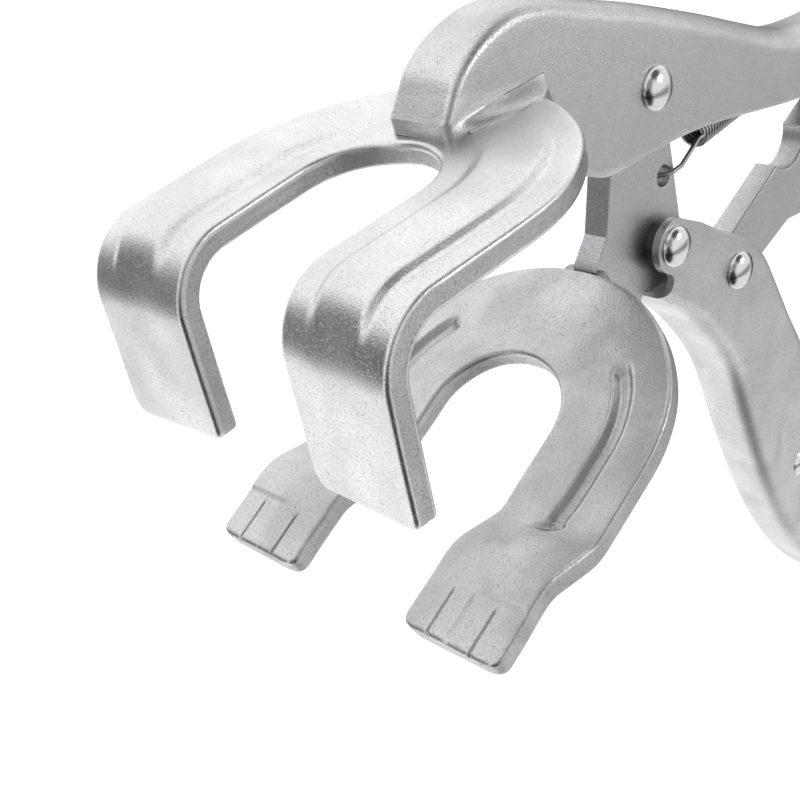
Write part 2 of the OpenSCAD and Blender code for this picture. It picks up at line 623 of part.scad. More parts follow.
module release_lever() {
  color(steel) difference() {
    on_handle() channel(lever_web, lever_edge, lever_bend, lever_half, lever_sheet);
    on_handle() translate([lever_pin_u, 0, lever_pin_v]) cross_bore(lever_pin_r + fit, 2 * lever_half + 2);
  }
}

// A shank with a dome on each end, its flats grip apart
module rivet(shank, head, dome, grip) {
  ball = (head * head + dome * dome) / (2 * dome);
  rotate([90, 0, 0]) {
    cylinder(r = shank, h = grip, center = true);
    for (side = [0, 1]) mirror([0, 0, side]) translate([0, 0, grip / 2]) intersection() {
      translate([0, 0, dome - ball]) sphere(ball);
      cylinder(r = head + 1, h = dome + 1);
    }
  }
}
module jaw_pivot_rivet() {
  color(dark_steel) rivet(rivet_r, rivet_head_r, rivet_head_h, upper_handle_w);
}
module handle_pivot_rivet() {
  color(dark_steel) translate([heel[0], 0, heel[1]])
    rivet(rivet_r, rivet_head_r, rivet_head_h, lower_handle_w);
}
module link_pivot_rivet() {
  color(dark_steel) translate([link_pin[0], 0, link_pin[1]])
    rivet(rivet_r, rivet_head_r, rivet_head_h, lower_handle_w);
}
module release_lever_pin() {
  color(dark_steel) on_handle() translate([lever_pin_u, 0, lever_pin_v])
    rivet(lever_pin_r, lever_pin_r + 1, 1, lower_handle_w);
}

// A spacer between the arm or link and one wall
module spacer(at, r, wall) {
  from = arm_half + side_fit;
  translate([at[0], from, at[1]]) rotate([-90, 0, 0]) difference() {
    cylinder(r = r, h = wall - side_fit - from);
    translate([0, 0, -1]) cylinder(r = bore_r, h = wall);
  }
}
module jaw_pivot_washer_near() {
  color(dark_steel) spacer([0, 0], washer_r, upper_half - upper_sheet);
}
module jaw_pivot_washer_far() {
  color(dark_steel) mirror([0, 1, 0]) spacer([0, 0], washer_r, upper_half - upper_sheet);
}
module handle_pivot_washer_near() {
  color(dark_steel) spacer(heel, small_washer_r, lower_half - lower_sheet);
}
module handle_pivot_washer_far() {
  color(dark_steel) mirror([0, 1, 0]) spacer(heel, small_washer_r, lower_half - lower_sheet);
}
module link_pivot_washer_near() {
  color(dark_steel) spacer(link_pin, small_washer_r, lower_half - lower_sheet);
}
module link_pivot_washer_far() {
  color(dark_steel) mirror([0, 1, 0])
    spacer(link_pin, small_washer_r, lower_half - lower_sheet);
}

module adjusting_screw() {
  head_z = sleeve_start + sleeve_len + knob_gap;
  color(dark_steel) on_screw() difference() {
    union() {
      translate([0, 0, 2]) cylinder(r = screw_r, h = head_z - 2);
      cylinder(r1 = 2, r2 = screw_r, h = 2);
      translate([0, 0, head_z]) cylinder(r1 = knob_r - knob_bevel, r2 = knob_r, h = knob_bevel);
      translate([0, 0, head_z + knob_bevel]) cylinder(r = knob_r, h = knob_len - 2 * knob_bevel);
      translate([0, 0, head_z + knob_len - knob_bevel])
        cylinder(r1 = knob_r, r2 = knob_r - knob_bevel, h = knob_bevel);
    }
    for (k = [0 : knob_grooves - 1]) rotate([0, 0, 360 * (k + 0.5) / knob_grooves])
      translate([knob_r + 0.25, 0, head_z - 1]) cylinder(r = 0.8, h = knob_len + 2, $fn = 24);
  }
}

// Round wire laid along a path
module wire(path) {
  last = len(path) - 1;
  skin([for (i = [0 : last])
    let (d = path[min(i + 1, last)] - path[max(i - 1, 0)], t = d / norm(d),
      n = cross(t, [0, 0, 1]) / norm(cross(t, [0, 0, 1])), b = cross(t, n))
    [for (k = [0 : 9]) path[i] + wire_r * (cos(36 * k) * n + sin(36 * k) * b)]]);
}
// Path of a hook: from the coil's end along the near side, round and a little way back
function hook_path(x, z, way, from) = concat(
  [from, from + [way * 1.5, 0.4, 0], [x - way * (loop_r + 2), loop_r, z]],
  [for (a = [90 : -15 : -90]) [x - way * loop_r * (1 - cos(a)), loop_r * sin(a), z]],
  [[x - way * (loop_r + hook_tail), -loop_r, z]]);
// Front hook through the arm, close coil and rear hook round the tongue
module spring() {
  z = spring_hole[1];
  front = spring_hole[0] - 2 * loop_r - neck_len;
  rear = front - coil_len;
  turns = floor(coil_len / (2 * wire_r));
  color(dark_steel) {
    wire(hook_path(spring_hole[0] + 0.5, z, 1, [front - 1, 0.8, z + coil_lift]));
    translate([rear, 0, z + coil_lift]) rotate([0, 90, 0]) coil_tube(turns);
    wire(hook_path(tongue_x - 0.3 - wire_r, z + coil_lift, -1, [rear + 1, 0.8, z + coil_lift]));
  }
}
module coil_tube(turns) {
  pitch = coil_len / turns;
  rotate_extrude() polygon(concat(
    [[0, 0], [0, coil_len]],
    [for (k = [turns : -1 : 1]) each [[coil_r, k * pitch], [coil_r + wire_r, (k - 0.5) * pitch]]],
    [[coil_r, 0]]));
}

tool() upper_handle();
tool() upper_jaw();
tool() upper_jaw_weld_near();
tool() upper_jaw_weld_far();
tool() lower_jaw_arm();
tool() lower_jaw();
tool() lower_jaw_weld();
tool() lower_handle();
tool() toggle_link();
tool() release_lever();
tool() release_lever_pin();
tool() adjusting_screw();
tool() spring();
tool() jaw_pivot_rivet();
tool() handle_pivot_rivet();
tool() link_pivot_rivet();
tool() jaw_pivot_washer_near();
tool() jaw_pivot_washer_far();
tool() handle_pivot_washer_near();
tool() handle_pivot_washer_far();
tool() link_pivot_washer_near();
tool() link_pivot_washer_far();
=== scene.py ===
# %% [markdown]
# # Locking pliers for welding, with horseshoe jaws
# The tool lies open on a pale bench, and the camera looks down past both jaws. The packed
# CAD model gives the place of every piece. The jaws, handles, rivets, spring and screw are
# then built again here as finer meshes from the same sizes, because forged and folded steel
# shows its soft edges, its grain and its plating only on smooth, close-knit faces. The flat
# plates and the small hidden pieces are softened copies of their CAD meshes.

from math import cos, degrees, pi, radians, sin, sqrt, tan

import bmesh
import bpy
import numpy as np
from mathutils import Euler, Matrix, Vector


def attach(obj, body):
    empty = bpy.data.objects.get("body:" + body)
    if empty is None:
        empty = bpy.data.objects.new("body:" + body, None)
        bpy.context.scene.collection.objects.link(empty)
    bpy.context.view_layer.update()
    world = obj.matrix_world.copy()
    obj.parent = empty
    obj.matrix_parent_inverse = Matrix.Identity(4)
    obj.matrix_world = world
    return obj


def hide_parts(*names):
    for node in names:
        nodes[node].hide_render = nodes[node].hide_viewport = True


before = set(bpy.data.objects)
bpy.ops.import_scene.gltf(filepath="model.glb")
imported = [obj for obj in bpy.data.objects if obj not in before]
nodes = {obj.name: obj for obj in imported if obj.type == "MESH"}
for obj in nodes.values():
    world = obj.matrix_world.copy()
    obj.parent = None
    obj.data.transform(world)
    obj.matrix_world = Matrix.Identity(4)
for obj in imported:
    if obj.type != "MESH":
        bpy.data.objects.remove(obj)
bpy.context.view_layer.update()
print("nodes:", len(nodes))

# %% [markdown]
# ## The camera
# The camera comes first, because everything is judged through it. Its place was solved from
# straight edges of the real tool, such as the square ends of the jaws. The picture is
# square, so one focal length in pixels fixes the lens.

# %% Camera
CAMERA_PLACE = (0.17479, -0.15395, 0.17371)
CAMERA_TURN = (-25.1519, -38.7755, 164.3469)
FOCAL_PIXELS = 1281.63
PICTURE_SIDE = 800
SENSOR_WIDTH = 36.0

camera_data = bpy.data.cameras.new("bench_camera")
camera_data.sensor_fit = "HORIZONTAL"
camera_data.sensor_width = SENSOR_WIDTH
camera_data.lens = FOCAL_PIXELS * SENSOR_WIDTH / PICTURE_SIDE
camera_data.clip_start = 0.01
camera = bpy.data.objects.new("bench_camera", camera_data)
camera.location = CAMERA_PLACE
camera.rotation_euler = Euler([radians(a) for a in CAMERA_TURN], "XYZ")
bpy.context.scene.collection.objects.link(camera)
bpy.context.scene.camera = camera
bpy.context.scene.view_settings.view_transform = "Standard"
print("lens", round(camera_data.lens, 2), "mm")

# %% [markdown]
# ## The tool's own axes
# A maker draws pliers from the jaw pivot: X forwards to the jaws, Y to the near side, Z up.
# The tool then lies down on its far side. One matrix does that for every mesh, so each
# finished object stays at the origin, unturned.

# %% From the tool's axes to the bench
MM = 0.001
LYING_TURN_Z = 6.91696
LYING_TURN_X = 91.34043
LYING_SHIFT = Vector((23.6367, -65.2576, 24.9386))

LAY_DOWN = (Matrix.Scale(MM, 4) @ Matrix.Translation(LYING_SHIFT)
            @ Matrix.Rotation(radians(LYING_TURN_X), 4, "X")
            @ Matrix.Rotation(radians(LYING_TURN_Z), 4, "Z"))


def lay_down(obj):
    """Turns a mesh drawn in the tool's axes, in millimetres, onto the bench."""
    obj.data.transform(LAY_DOWN)
    obj.data.update()
    return obj


print("the jaw pivot lies at", [round(c, 4) for c in LAY_DOWN @ Vector((0, 0, 0))], "m")

# %% [markdown]
# ## From points to a finished piece
# Every piece takes the same steps. Its points and faces become an object, doubled points are
# merged, and the faces are turned outwards, because a face that looks inwards renders dark.
# Last come its finish, the body that it moves with and the CAD nodes that it stands for.

# %% Mesh helpers
def mesh_object(name, points, faces):
    mesh = bpy.data.meshes.new(name)
    mesh.from_pydata([tuple(map(float, p)) for p in points], [], faces)
    mesh.validate()
    obj = bpy.data.objects.new(name, mesh)
    bpy.context.scene.collection.objects.link(obj)
    return obj


def finish_surface(obj, crease=35.0, weld=0.002 * MM):
    """Merges doubled points, turns the faces outwards and keeps only real creases sharp."""
    work = bmesh.new()
    work.from_mesh(obj.data)
    bmesh.ops.remove_doubles(work, verts=work.verts, dist=weld)
    bmesh.ops.recalc_face_normals(work, faces=work.faces)
    work.to_mesh(obj.data)
    work.free()
    obj.data.polygons.foreach_set("use_smooth", [True] * len(obj.data.polygons))
    obj.data.set_sharp_from_angle(angle=radians(crease))
    obj.data.update()
    return obj


def dress(obj, body, finishes, *replaced):
    """Gives a finished piece its finishes, its body and the CAD nodes that it stands for."""
    finishes = finishes if isinstance(finishes, tuple) else (finishes,)
    faces = len(obj.data.polygons)
    kept = np.zeros(faces, np.int32)
    obj.data.polygons.foreach_get("material_index", kept)
    obj.data.materials.clear()
    for finish in finishes:
        obj.data.materials.append(finish)
    obj.data.polygons.foreach_set("material_index", np.minimum(kept, len(finishes) - 1))
    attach(obj, body)
    if replaced:
        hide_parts(*replaced)
    print(obj.name, len(obj.data.polygons), "faces on", body)
    return obj


def swept_skin(name, rings, second=()):
    """Closed skin through rings of equal count, with a flat cap at each end.
    second lists the places round the ring whose faces take the second finish."""
    rings = np.array(rings, float)
    count, around = rings.shape[:2]
    faces = []
    for i in range(count - 1):
        for j in range(around):
            k = (j + 1) % around
            faces.append((i * around + j, i * around + k,
                          (i + 1) * around + k, (i + 1) * around + j))
    faces.append(tuple(range(around - 1, -1, -1)))
    faces.append(tuple((count - 1) * around + j for j in range(around)))
    obj = mesh_object(name, rings.reshape(-1, 3), faces)
    if len(second):
        marks = np.zeros(len(obj.data.polygons), np.int32)
        mask = np.zeros(around, np.int32)
        mask[list(second)] = 1
        marks[:(count - 1) * around] = np.tile(mask, count - 1)
        marks[-2:] = 1
        obj.data.polygons.foreach_set("material_index", marks)
    return obj


# %% [markdown]
# ## Node trees, written shortly
# A material, a world and a Geometry Nodes tree are all made of nodes that are linked. One
# helper adds a node, sets its settings and fills its inputs. An input takes either a number
# or the output of an earlier node, so each tree reads from its start to its end.

# %% Node helpers
def add_node(tree, kind, inputs=(), **settings):
    node = tree.nodes.new(kind)
    for setting, value in settings.items():
        setattr(node, setting, value)
    for socket, value in dict(inputs).items():
        if isinstance(value, bpy.types.NodeSocket):
            tree.links.new(value, node.inputs[socket])
        else:
            node.inputs[socket].default_value = value
    return node


def calculate(tree, operation, first, second=0.0, third=0.0):
    node = add_node(tree, "ShaderNodeMath", {0: first, 1: second, 2: third}, operation=operation)
    return node.outputs["Value"]


def smooth_range(tree, value, low, high, start, end, shape="SMOOTHSTEP"):
    """Maps low to start and high to end, with soft or straight ends."""
    node = add_node(tree, "ShaderNodeMapRange", {"Value": value, "From Min": low, "From Max": high,
                                                 "To Min": start, "To Max": end},
                    interpolation_type=shape)
    return node.outputs["Result"]


# %% [markdown]
# ## Plated steel
# The forged jaws are tumbled and then plated, so their skin is pale, fine-grained and softly
# glossy. The folded handles are a shade darker, and sheared walls are darker and rougher
# still. A metal has no colour of its own to show, so the finish lies in its roughness, in
# broad clouds of slightly darker plating and in four sizes of bump: hammer scale, tumbling
# marks, grain and pits.

# %% Materials
# Noise sizes from coarse to fine, in waves to the metre
CLOUDS, HAMMER, TUMBLING, GRAIN, PITS = 80, 170, 800, 3600, 3800
BUMP_HEIGHT = 0.0002
DARK_SHARE = 0.45


def noise(tree, size, detail, distortion=0.0):
    place = add_node(tree, "ShaderNodeTexCoord").outputs["Object"]
    node = add_node(tree, "ShaderNodeTexNoise", {"Vector": place, "Scale": size, "Detail": detail,
                                                 "Distortion": distortion})
    return node.outputs["Fac"]


def plated_steel(name, tone, rough, grain, clouds, pits, waves):
    """tone and rough set the plating. grain, clouds, pits and waves say how much of each shows."""
    material = bpy.data.materials.new(name)
    material.use_nodes = True
    tree = material.node_tree
    tree.nodes.clear()
    cloud = noise(tree, CLOUDS, 4, 0.5)
    hammer = noise(tree, HAMMER, 3)
    tumbled = noise(tree, TUMBLING, 3, 0.2)
    fine = noise(tree, GRAIN, 2)
    pit = noise(tree, PITS, 2, 0.4)

    clouded = smooth_range(tree, cloud, 0.3, 0.7, 1.0 - clouds * 0.3, 1.0)
    grained = smooth_range(tree, fine, 0.3, 0.6, 1.0 - pits * 0.4, 1.0)
    pitted = smooth_range(tree, pit, 0.28, 0.5, 1.0 - pits * 0.8, 1.0)
    shade = calculate(tree, "MULTIPLY", calculate(tree, "MULTIPLY", clouded, grained), pitted)
    dark_tone = (*(DARK_SHARE * part for part in tone), 1.0)
    tint = add_node(tree, "ShaderNodeMix", {"Factor": shade, "A": dark_tone, "B": (*tone, 1.0)},
                    data_type="RGBA")
    gloss = smooth_range(tree, cloud, 0.3, 0.7, rough * 1.15, rough * 0.85)
    gloss = calculate(tree, "MULTIPLY", gloss, smooth_range(tree, pit, 0.3, 0.45, 1.3, 1.0))

    heights = calculate(tree, "MULTIPLY_ADD", hammer, 2.5 * waves)
    heights = calculate(tree, "MULTIPLY_ADD", tumbled, 0.5 * waves, heights)
    heights = calculate(tree, "MULTIPLY_ADD", fine, 0.5, heights)
    heights = calculate(tree, "MULTIPLY_ADD", smooth_range(tree, pit, 0.28, 0.42, 0.0, 1.0),
                        0.5 * pits, heights)
    bump = add_node(tree, "ShaderNodeBump", {"Strength": grain, "Distance": BUMP_HEIGHT,
                                             "Height": heights})
    shader = add_node(tree, "ShaderNodeBsdfPrincipled", {
        "Metallic": 1.0, "Base Color": tint.outputs["Result"], "Roughness": gloss,
        "Normal": bump.outputs["Normal"]})
    add_node(tree, "ShaderNodeOutputMaterial", {"Surface": shader.outputs["BSDF"]})
    return material


forged_steel = plated_steel("forged_plated_steel", (0.84, 0.84, 0.845), 0.3, 0.4, 0.6, 0.5, 0.3)
sheared_steel = plated_steel("sheared_plated_steel", (0.62, 0.62, 0.625), 0.45, 0.8, 0.7, 0.6, 0.9)
blasted_steel = plated_steel("blasted_plated_steel", (0.68, 0.68, 0.685), 0.36, 0.6, 1.3, 0.5, 0.5)
sheet_steel = plated_steel("folded_sheet_steel", (0.73, 0.735, 0.742), 0.33, 0.45, 0.9, 0.65, 0.25)
plate_steel = plated_steel("stamped_plate_steel", (0.66, 0.665, 0.68), 0.36, 0.4, 0.6, 0.7, 0.5)
# The spacers' near-black tone is painted shade. It stands for the shadow in the gaps between the
# pivoted parts, not for their pale plating.
painted_shade_steel = plated_steel("painted_shade_spacer_steel", (0.14, 0.14, 0.145), 0.5, 0.4, 0.6, 0.6, 0.5)
rivet_steel = plated_steel("rivet_steel", (0.80, 0.80, 0.81), 0.13, 0.1, 0.3, 0.3, 0.1)
spring_wire = plated_steel("spring_wire", (0.4, 0.4, 0.41), 0.3, 0.1, 0.3, 0.3, 0.3)
plated_bead = plated_steel("plated_weld_bead", (0.74, 0.74, 0.75), 0.34, 0.6, 0.5, 0.5, 1.0)
weld_metal = plated_steel("weld_metal", (0.5, 0.5, 0.51), 0.4, 1.0, 0.6, 1.0, 1.5)
screw_steel = plated_steel("screw_steel", (0.6, 0.6, 0.615), 0.3, 0.3, 0.4, 0.4, 0.5)
print("finishes:", sorted(material.name for material in bpy.data.materials))

# %% [markdown]
# ## The forged plates
# Both jaws start as a flat bar bent into a horseshoe, 4 mm thick, with rounded edges. The
# section is one closed loop. It is carried along a path of frames, each with a place, a way
# out and a way up. Width, corner rounding and the raised rib or pressed groove change from
# frame to frame, which a plain sweep along a curve can't do.

# %% The bar's section
PLATE = 4.0
EDGE = 0.8
EDGE_STEPS = 5
TOP_STEPS = 44
SIDE_STEPS = 5
UNDER_STEPS = 14


def bar_section(inner, outer, top=lambda y: 0.0, inset=0.0, marks=()):
    """Loop of (outwards, up) points of the bar, its top at zero. inset draws it in all round,
    and marks, where given, are the shares of the width at which the top has its points."""
    radius = max(EDGE - inset, 0.05)
    low, high = inset - PLATE, -inset
    inner, outer = inner + inset, outer - inset
    loop = []
    for n in range(EDGE_STEPS):
        a = radians(180 - 90 * n / EDGE_STEPS)
        loop.append((inner + radius + radius * cos(a), high - radius + radius * sin(a)))
    y0, y1 = inner + radius, outer - radius
    shares = marks or [n / TOP_STEPS for n in range(TOP_STEPS + 1)]
    loop += [(y0 + (y1 - y0) * s, high) for s in shares]
    for n in range(1, EDGE_STEPS + 1):
        a = radians(90 - 90 * n / EDGE_STEPS)
        loop.append((outer - radius + radius * cos(a), high - radius + radius * sin(a)))
    side = [(n + 1) / (SIDE_STEPS + 1) for n in range(SIDE_STEPS)]
    loop += [(outer, high - radius + (low + radius - high + radius) * s) for s in side]
    for n in range(EDGE_STEPS + 1):
        a = radians(-90 * n / EDGE_STEPS)
        loop.append((outer - radius + radius * cos(a), low + radius + radius * sin(a)))
    loop += [(y1 + (y0 - y1) * n / UNDER_STEPS, low) for n in range(1, UNDER_STEPS)]
    for n in range(EDGE_STEPS + 1):
        a = radians(-90 - 90 * n / EDGE_STEPS)
        loop.append((inner + radius + radius * cos(a), low + radius + radius * sin(a)))
    loop += [(inner, low + radius + (high - radius - low - radius) * s) for s in side]
    return [(y, z + (top(y) if z > -EDGE else 0.0)) for y, z in loop]


def smooth_step(x):
    x = min(max(x, 0.0), 1.0)
    return x * x * (3 - 2 * x)


def wall_places(top_count):
    """Places round the section whose faces are the bar's two sheared walls."""
    outer = EDGE_STEPS + top_count + EDGE_STEPS - 1
    inner = outer + SIDE_STEPS + EDGE_STEPS + 1 + UNDER_STEPS - 1 + EDGE_STEPS + 1
    return list(range(outer, outer + SIDE_STEPS + 1)) + list(range(inner - 1, inner + SIDE_STEPS))


def roughen_walls(rings, places, seed, depth):
    """A shear tears the walls: short ragged pits, in millimetres, pushed into the bar."""
    random = np.random.default_rng(seed)
    rings = np.array(rings)
    middle = rings.mean(axis=1, keepdims=True)
    torn = random.normal(0, 1, rings.shape[:2])
    torn = (torn + 0.6 * np.roll(torn, 1, 1) + 0.6 * np.roll(torn, -1, 1)) / 1.7
    mask = np.zeros(rings.shape[1])
    mask[places] = 1.0
    inwards = middle - rings
    inwards /= np.linalg.norm(inwards, axis=2, keepdims=True)
    return rings + inwards * (np.abs(torn) * mask * depth)[:, :, None]


print("points round a section:", len(bar_section(0.0, 20.0)))

# %% [markdown]
# ## The upper jaw
# The round at the back turns 180 degrees, each prong runs forwards, and its tip is bent down
# nearly square. The raised rib fades in on the round, follows the prong and fades out as it
# goes over the bend.

# %% Sizes of the upper jaw
UPPER_IN, UPPER_OUT, UPPER_MID = 11.8, 32.0, 21.9
UPPER_CENTRE = 62.6
SEAT_RISE = 13.2
PRONG_RUN = 17.0
PRONG_TOE = radians(2.2)
BEND_R = 11.0
TIP_TURN = radians(87)
TIP_LONG, TIP_CORNER_WIDE, TIP_CORNER_SMALL = 20.1, 3.5, 1.7
# The tip's end face leans, so that it lies flat on the pad when the jaws meet
TIP_LEAN = radians(-1.0)
RIB_W, RIB_H = 12.0, 1.3
# The rib's ends: the turn on the round where it starts and the turn that it takes to rise, in
# degrees, and the ring on the bend where it stops and the rings that it takes to sink
RIB_START, RIB_RISE = 62.0, 44.0
RIB_STOP, RIB_SINK = 17, 12
BEND_RINGS, PRONG_RINGS, ROUND_RINGS = 22, 12, 45
print("the bar is", round(UPPER_OUT - UPPER_IN, 1), "mm wide")


# %% Rib and path of the upper jaw
def rib_dome(strength):
    """Height of the rib across the prong: a low crown with a steep outer shoulder."""
    def top(y):
        d = abs(y - UPPER_MID) / (RIB_W / 2)
        shoulder = 0.24 if y > UPPER_MID else 0.45
        if d >= 1:
            return 0.0
        return strength * RIB_H * (1 - 0.25 * d * d) * smooth_step((1.0 - d) / shoulder)
    return top


def on_upper_round(y, z, turn):
    return (UPPER_CENTRE - y * sin(turn), y * cos(turn), SEAT_RISE + z)


def on_upper_prong(y, along, z):
    x, side, up = on_upper_round(y, z, -PRONG_TOE)
    return (x + along * cos(PRONG_TOE), side - along * sin(PRONG_TOE), up)


def on_upper_bend(y, z, turn, down=0.0):
    return on_upper_prong(y, PRONG_RUN + (BEND_R + z) * sin(turn) + down * cos(turn),
                          -BEND_R + (BEND_R + z) * cos(turn) - down * sin(turn))


print("the bend starts at x =", round(on_upper_bend(UPPER_MID, 0, 0)[0], 2), "mm")


# %% Sections of one prong
def corner_inset(left, radius):
    """How far a rounded corner draws the side in, when left is the run to the end."""
    if left >= radius:
        return 0.0
    return radius - sqrt(max(radius * radius - (radius - left) ** 2, 0.0))


def upper_half(near):
    """Rings from the tip's end to the middle of the round. near is the +Y prong."""
    inner_corner = TIP_CORNER_WIDE if near else TIP_CORNER_SMALL
    outer_corner = TIP_CORNER_SMALL if near else TIP_CORNER_WIDE
    rings = []
    ends = [(0.0, 0.75), (0.12, 0.42), (0.32, 0.2), (0.6, 0.05), (0.9, 0.0)]
    ends += [(1.3, 0), (1.8, 0), (2.4, 0), (3.0, 0), (3.6, 0), (4.4, 0), (5.4, 0), (6.6, 0)]
    ends += [(8.0 + 1.35 * n, 0) for n in range(9)]
    for left, inset in ends:
        down = TIP_LONG - left
        section = bar_section(UPPER_IN + corner_inset(left, inner_corner),
                              UPPER_OUT - corner_inset(left, outer_corner), inset=inset)
        lean = tan(TIP_LEAN) * down / TIP_LONG
        rings.append([on_upper_bend(y, z, TIP_TURN, down + (z + PLATE / 2) * lean)
                      for y, z in section])
    for n in range(BEND_RINGS, -1, -1):
        strength = smooth_step((RIB_STOP - n) / RIB_SINK)
        section = bar_section(UPPER_IN, UPPER_OUT, rib_dome(strength))
        rings.append([on_upper_bend(y, z, TIP_TURN * n / BEND_RINGS) for y, z in section])
    section = bar_section(UPPER_IN, UPPER_OUT, rib_dome(1.0))
    for n in range(PRONG_RINGS - 1, -1, -1):
        rings.append([on_upper_prong(y, PRONG_RUN * n / PRONG_RINGS, z) for y, z in section])
    for n in range(1, ROUND_RINGS + 1):
        turn = radians(90 * n / ROUND_RINGS)
        strength = smooth_step((RIB_START - degrees(turn)) / RIB_RISE)
        section = bar_section(UPPER_IN, UPPER_OUT, rib_dome(strength))
        rings.append([on_upper_round(y, z, turn) for y, z in section])
    return rings


print("sections along one prong:", len(upper_half(True)))


# %% A whole, slightly uneven horseshoe
SLOW_WAVES = 14


def horseshoe(half):
    """Joins the near half to the far one, which is mirrored and run the other way."""
    near = np.array(half(True))
    far = np.array(half(False))[:-1][::-1]
    far[:, :, 1] *= -1
    return np.concatenate((near, far))


def settle(rings, seed, swell, size):
    """Small forging unevenness: a few slow waves over the whole surface, in millimetres."""
    random = np.random.default_rng(seed)
    points = rings.reshape(-1, 3)
    shift = np.zeros_like(points)
    for _ in range(SLOW_WAVES):
        way = random.normal(0, 1, 3)
        way *= 2 * pi / (size * random.uniform(0.6, 1.8)) / np.linalg.norm(way)
        push = random.normal(0, 1, 3)
        shift += np.sin(points @ way + random.uniform(0, 2 * pi))[:, None] * push
    points = points + shift * swell / SLOW_WAVES ** 0.5
    return points.reshape(rings.shape)


# %% Upper jaw
FORGED_CREASE = 50
upper_walls = wall_places(TOP_STEPS + 1)
upper_rings = roughen_walls(settle(horseshoe(upper_half), 5, 0.06, 14), upper_walls, 3, 0.07)
upper_jaw = swept_skin("upper_jaw_forging", upper_rings, upper_walls)
finish_surface(lay_down(upper_jaw), crease=FORGED_CREASE)
dress(upper_jaw, "fixed_half", (forged_steel, sheared_steel), "upper_jaw")

# %% [markdown]
# ## The lower jaw
# This plate slopes down to the front. Near the front each prong steps up to a clamping pad,
# and a groove is pressed along it. Two scored lines run in from the front edge of each pad.
# The section's points crowd together where the lines are, so that they are real cuts.

# %% Sizes of the lower jaw
LOWER_IN, LOWER_OUT = 12.4, 31.4
OPEN_SLOPE = radians(21.6)
RIM = np.array((18.9, -26.1))
LOWER_LONG = 71.0
STEP_RISE, STEP_TURN = 6.2, radians(33)
STEP_R1, STEP_R2 = 5.0, 10.0
LEG_END, STEP_LONG = 45.0096, 13.9904
PAD_CORNER = 2.2
# The outer part of each pad is coined a little lower, back to COIN_LONG from the front
COIN_LONG, COIN_DEPTH, COIN_FROM = 9.6, 0.25, 21.2
SCORE_LONG, SCORE_DEPTH, SCORE_HALF = 8.6, 0.5, 0.3
SCORE_PLACES = (0.27, 0.745)
GROOVE_MID, GROOVE_HALF, GROOVE_DEPTH = 23.4, 1.8, 1.3
# The groove's rear end: the turn on the round where it starts and the turn it takes to sink in
GROOVE_START, GROOVE_SINK = 41.0, 5.0
STEP_RINGS, LEG_RINGS = 10, 16
print("the bar is", round(LOWER_OUT - LOWER_IN, 1), "mm wide")


# %% Groove, scored lines and coined pad
def on_lower_plate(u, y, v):
    """From the lower plate's own axes, u along it from its rear rim and v out of its top."""
    return (RIM[0] + u * cos(OPEN_SLOPE) + v * sin(OPEN_SLOPE), y,
            RIM[1] - u * sin(OPEN_SLOPE) + v * cos(OPEN_SLOPE))


def top_shares():
    """Places across the top: even, and close together at the two scored lines."""
    even = [n / 40 for n in range(41)]
    width = LOWER_OUT - LOWER_IN - 2 * EDGE
    beside = (-0.62, -0.42, -SCORE_HALF, -0.2, -0.1, 0.0, 0.1, 0.2, SCORE_HALF, 0.42, 0.62)
    fine = [place + d / width for place in SCORE_PLACES for d in beside]
    even = [s for s in even if min(abs(s - place) for place in SCORE_PLACES) > 0.7 / width]
    return sorted(even + fine)


TOP_SHARES = top_shares()


def lower_top(groove, mid=GROOVE_MID, score=0.0, coin=0.0):
    def top(y):
        drop = 0.0
        d = abs(y - mid) / GROOVE_HALF
        if groove > 0 and d < 1:
            drop += groove * GROOVE_DEPTH * smooth_step((1 - d) / 0.6)
        if score > 0:
            for place in SCORE_PLACES:
                cut = abs(y - (LOWER_IN + EDGE + place * (LOWER_OUT - LOWER_IN - 2 * EDGE)))
                drop += score * SCORE_DEPTH * max(0.0, 1 - cut / SCORE_HALF)
        if coin > 0:
            drop += coin * COIN_DEPTH * smooth_step((y - COIN_FROM) / 0.8)
        return -drop
    return top


print("the groove's deepest point:", lower_top(1.0)(GROOVE_MID), "mm")


